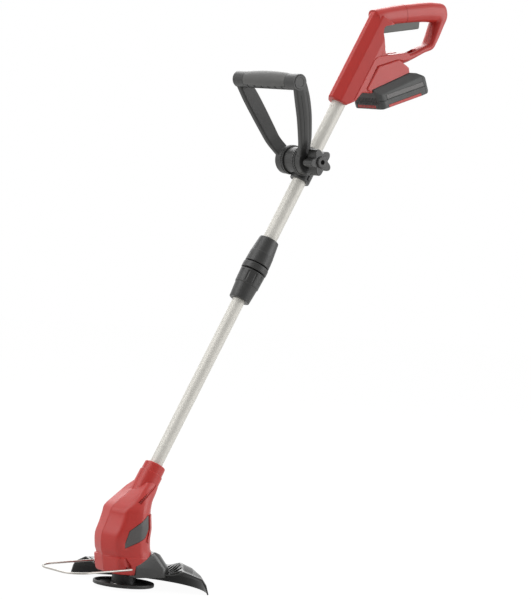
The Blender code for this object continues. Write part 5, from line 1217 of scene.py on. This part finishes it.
def makePackTrim(lower, upper):
    p = pack
    x0, x1, low, high = p["strip"]
    band = packBand(x0, x1, low - p["frontDeep"], high - p["frontDeep"])
    for side, name, node in ((-1.0, "packStripLeft", "battery_strip_left"),
            (1.0, "packStripRight", "battery_strip_right")):
        inlay(lower, name, node, band, side, p["stripDeep"], p["stripEdge"])
    x0, x1, low, high = p["label"]
    inlay(upper, "packLabel", "battery_label", packBand(x0, x1, packSeam + low, packSeam + high), -1.0,
        p["labelDeep"], p["labelEdge"])
    half, low, high = p["frontStrip"]
    near, far = p["front"] - p["stripProud"], p["front"] - p["stripProud"] + p["stripDeep"]
    cut(lower, box("seat", dock, (near - p["past"], -half - gap, low - gap), (far + gap, half + gap, high + gap)))
    strip = box("packStripFront", dock, (near, -half, low), (far, half, high), p["stripEdge"])
    for index in range(p["combs"]):
        y = (index - (p["combs"] - 1) / 2) * p["combPitch"]
        if abs(y) < half:
            notch, rib, lap = p["notchHalf"], p["ribHalf"], p["notchDeep"]
            cut(strip, box("notch", dock, (near - p["past"], y - notch, low - p["past"]),
                (near + lap, y + notch, high + p["past"])))
            join(lower, box("rib", dock, (near + p["ribDeep"][0], y - rib, low - lap), (near + p["ribDeep"][1],
                y + rib, high + lap)))
    finished(strip, "battery", "battery_strip_front")


def packRail():
    p = pack
    start, end = p["railFrom"], p["railFrom"] + p["railLong"]
    rail = box("rail", dock, (start, -p["neck"], p["railSink"]), (end, p["neck"], p["railHigh"]))
    join(rail, box("lip", dock, (start + 0.0001, -p["lip"], p["railHigh"] - p["railLip"]), (end + 0.0004, p["lip"],
        p["railHigh"] + 0.0001)))
    for index in range(p["slits"]):
        y = (index - (p["slits"] - 1) / 2) * p["slitPitch"]
        cut(rail, box("slit", dock, (0.0, y - p["slitHalf"], p["slitLow"]), (p["slitTo"], y + p["slitHalf"], 0.05)))
    return rail


def packRooms():
    # the room inside, less a middle rib and the walls of the button's pocket, and a round room for each cell
    p = pack
    room = common(packForm("room", p["wall"]), packSlab(-beyond, p["railSink"]))
    around = p["pocketWall"]
    cut(room, box("rib", dock, (-beyond, -p["midRib"], -beyond), (farBeyond, p["midRib"], beyond)))
    cut(room, box("wall", dock, (packRear - p["latchDeep"] - p["wall"], -p["latchHalf"] - around,
        p["latchZ"][0] - around), (farBeyond, p["latchHalf"] + around, p["latchZ"][1] + around)))
    rooms = [room]
    for index in range(p["cells"]):
        x = p["front"] + p["cellFirst"] + p["cellPitch"] * index
        z = -p["frontDeep"] * 0.5 - p["cellDrop"] - packSlope * (x - p["front"])
        reach = p["cellLong"] / 2 + gap
        rooms.append(rod("cellRoom", dock, (x, -reach, z), (x, reach, z), p["cellRadius"] + gap, 36))
    return rooms


def makePack():
    p = pack
    whole = packForm("packLower")
    front, half, corner = p["front"], p["half"], p["corner"]
    for side in bothSides:
        out = corner + p["bumperOut"]
        join(whole, lathe("bumper", dock, [(0.0, p["bumperTop"]), (corner - 0.001, p["bumperTop"]),
            (out, p["bumperTop"] - 0.0018, 0.003), (out, packLow(front) + 0.0002, 0.004),
            (0.0, packLow(front) + 0.0002)], 48, (front + corner, side * (half - corner), 0.0)))
    for tool in packRooms():
        cut(whole, tool)
    for index in range(p["combs"]):
        y = (index - (p["combs"] - 1) / 2) * p["combPitch"]
        cut(whole, box("comb", dock, (front - 0.01, y - p["combHalf"], p["combZ"][0]),
            (front + p["combDeep"], y + p["combHalf"], p["combZ"][1])))
    latchGap = p["moveGap"] / 2
    cut(whole, packLines(packForm("core", p["line"])))
    cut(whole, box("latchRoom", dock, (packRear - p["latchDeep"], -p["latchHalf"] - latchGap,
        p["latchZ"][0] - latchGap), (farBeyond, p["latchHalf"] + latchGap, p["latchZ"][1] + latchGap)))
    upper = copyOf(whole, "packUpper")
    common(whole, packSlab(-beyond, packSeam - gap / 2))
    common(upper, packSlab(packSeam + gap / 2, beyond))
    join(upper, packRail())
    makePackTrim(whole, upper)
    finished(whole, "battery", "battery_lower_case")
    finished(upper, "battery", "battery_upper_case")
    end = packRear + p["latchProud"]
    button = box("packButton", dock, (packRear - p["latchDeep"] + p["latchTravel"] + gap, -p["latchHalf"],
        p["latchZ"][0]), (end, p["latchHalf"], p["latchZ"][1]), 0.0009)
    for y in (-0.0045, -0.0015, 0.0015, 0.0045):
        cut(button, rod("groove", dock, (end + 0.0004, y, -0.0264), (end + 0.0004, y, -0.0236), 0.0008, 16))
    finished(button, "battery_release", "battery_release")


makePack()
print("battery pack made")

# studio: a white sweep behind and beside the tool, a dimmer room behind the camera

# each lamp has its place, its size and its power
studio = {
    "floorLift": -0.0005, "floorSize": 14.0, "floorAt": (-0.25, 0.0), "floorColour": (0.7, 0.7, 0.69, 1),
    "floorSeen": 0.93, "floorMirrored": 0.35, "floorGlow": 1.035, "white": (1, 1, 1, 1), "worldLight": 0.8,
    "roomSide": (-0.641, -0.767, 0.0), "room": [(0.1, 1.0), (0.5, 0.72), (0.92, 0.3)],
    "lamps": {"leftLamp": ((-3.3, 0.9, 1.6), (2.4, 3.0), 52.0), "rightLamp": ((3.4, -3.4, 0.9), (3.4, 3.4), 110.0),
              "topLamp": ((-0.9, 0.5, 2.4), (2.2, 1.8), 22.0), "backLamp": ((1.1, 2.7, 1.3), (2.8, 1.8), 50.0)},
    "aim": (-0.27, 0.0, -0.5),
}
straightRays = ("Is Camera Ray", "Is Transmission Ray")
mirrorRays = ("Is Glossy Ray",)


def rayShare(tree, kinds):
    # 1 for any of these kinds of ray
    rays = addNode(tree, "LightPath").outputs
    share = rays[kinds[0]]
    for kind in kinds[1:]:
        share = addNode(tree, "Math", {0: share, 1: rays[kind]}, operation="MAXIMUM").outputs[0]
    return share


def mixShader(tree, share, first, second):
    return addNode(tree, "MixShader", {0: share, 1: first, 2: second}).outputs[0]


def makeWorld():
    world = bpy.data.worlds.new("paleStudio")
    scene.world = world
    world.use_nodes = True
    tree = world.node_tree
    tree.nodes.clear()
    coords = addNode(tree, "TexCoord").outputs["Generated"]
    facing = addNode(tree, "VectorMath", {0: coords, 1: studio["roomSide"]},
        operation="DOT_PRODUCT").outputs["Value"]
    room = rampNode(tree, facing, [(spot, (level, level, level)) for spot, level in studio["room"]])
    white = addNode(tree, "Background", {0: studio["white"], 1: 1.0}).outputs[0]
    mirrored = addNode(tree, "Background", {0: room, 1: 1.0}).outputs[0]
    lit = addNode(tree, "Background", {0: room, 1: studio["worldLight"]}).outputs[0]
    indirect = mixShader(tree, rayShare(tree, mirrorRays), lit, mirrored)
    addNode(tree, "OutputWorld", {0: mixShader(tree, rayShare(tree, straightRays), indirect, white)})


def makeFloor():
    low = cadBounds[0][2] + studio["floorLift"]
    bpy.ops.mesh.primitive_plane_add(size=studio["floorSize"], location=(*studio["floorAt"], low))
    floor = bpy.context.object
    floor.name = "paleFloor"
    material, tree = newMaterial("paleFloor")
    matt = addNode(tree, "BsdfDiffuse", {0: studio["floorColour"]}).outputs[0]
    glow = addNode(tree, "Emission", {0: studio["white"], 1: studio["floorGlow"]}).outputs[0]
    seen = addNode(tree, "Math", {0: rayShare(tree, straightRays), 1: studio["floorSeen"]}, operation="MULTIPLY")
    mirrored = addNode(tree, "Math", {0: rayShare(tree, mirrorRays), 1: studio["floorMirrored"]},
        operation="MULTIPLY")
    share = addNode(tree, "Math", {0: seen.outputs[0], 1: mirrored.outputs[0]}, operation="ADD").outputs[0]
    addNode(tree, "OutputMaterial", {0: mixShader(tree, share, matt, glow)})
    floor.data.materials.append(material)


def addLamp(name, spot, size, power):
    light = bpy.data.lights.new(name, "AREA")
    light.shape = "RECTANGLE"
    light.size, light.size_y = size
    light.energy = power
    lamp = bpy.data.objects.new(name, light)
    scene.collection.objects.link(lamp)
    lamp.location = spot
    lamp.rotation_euler = (Vector(studio["aim"]) - Vector(spot)).to_track_quat("-Z", "Y").to_euler()


makeWorld()
makeFloor()
for name, values in studio["lamps"].items():
    addLamp(name, *values)

# camera, fitted to the photograph

view = {"azimuth": 39.889, "elevation": 2.168, "roll": 5.536, "distance": 5.2, "lens": 179.6, "sensor": 36,
    "clipEnd": 100, "target": (-0.27527, 0.0, -0.52812)}


def makeCamera():
    azimuth, elevation, roll = (radians(view[key]) for key in ("azimuth", "elevation", "roll"))
    away = Vector((-sin(azimuth) * cos(elevation), -cos(azimuth) * cos(elevation), sin(elevation)))
    right = (-away).cross(Vector((0, 0, 1))).normalized()
    up = right.cross(-away)
    data = bpy.data.cameras.new("photoCamera")
    data.sensor_fit = "VERTICAL"
    data.sensor_height = view["sensor"]
    data.lens = view["lens"]
    data.clip_end = view["clipEnd"]
    camera = bpy.data.objects.new("photoCamera", data)
    scene.collection.objects.link(camera)
    turn = Matrix((right * cos(roll) + up * sin(roll), up * cos(roll) - right * sin(roll), away)).transposed()
    camera.matrix_world = Matrix.Translation(Vector(view["target"]) + away * view["distance"]) @ turn.to_4x4()
    scene.camera = camera


makeCamera()
print("studio and camera ready")
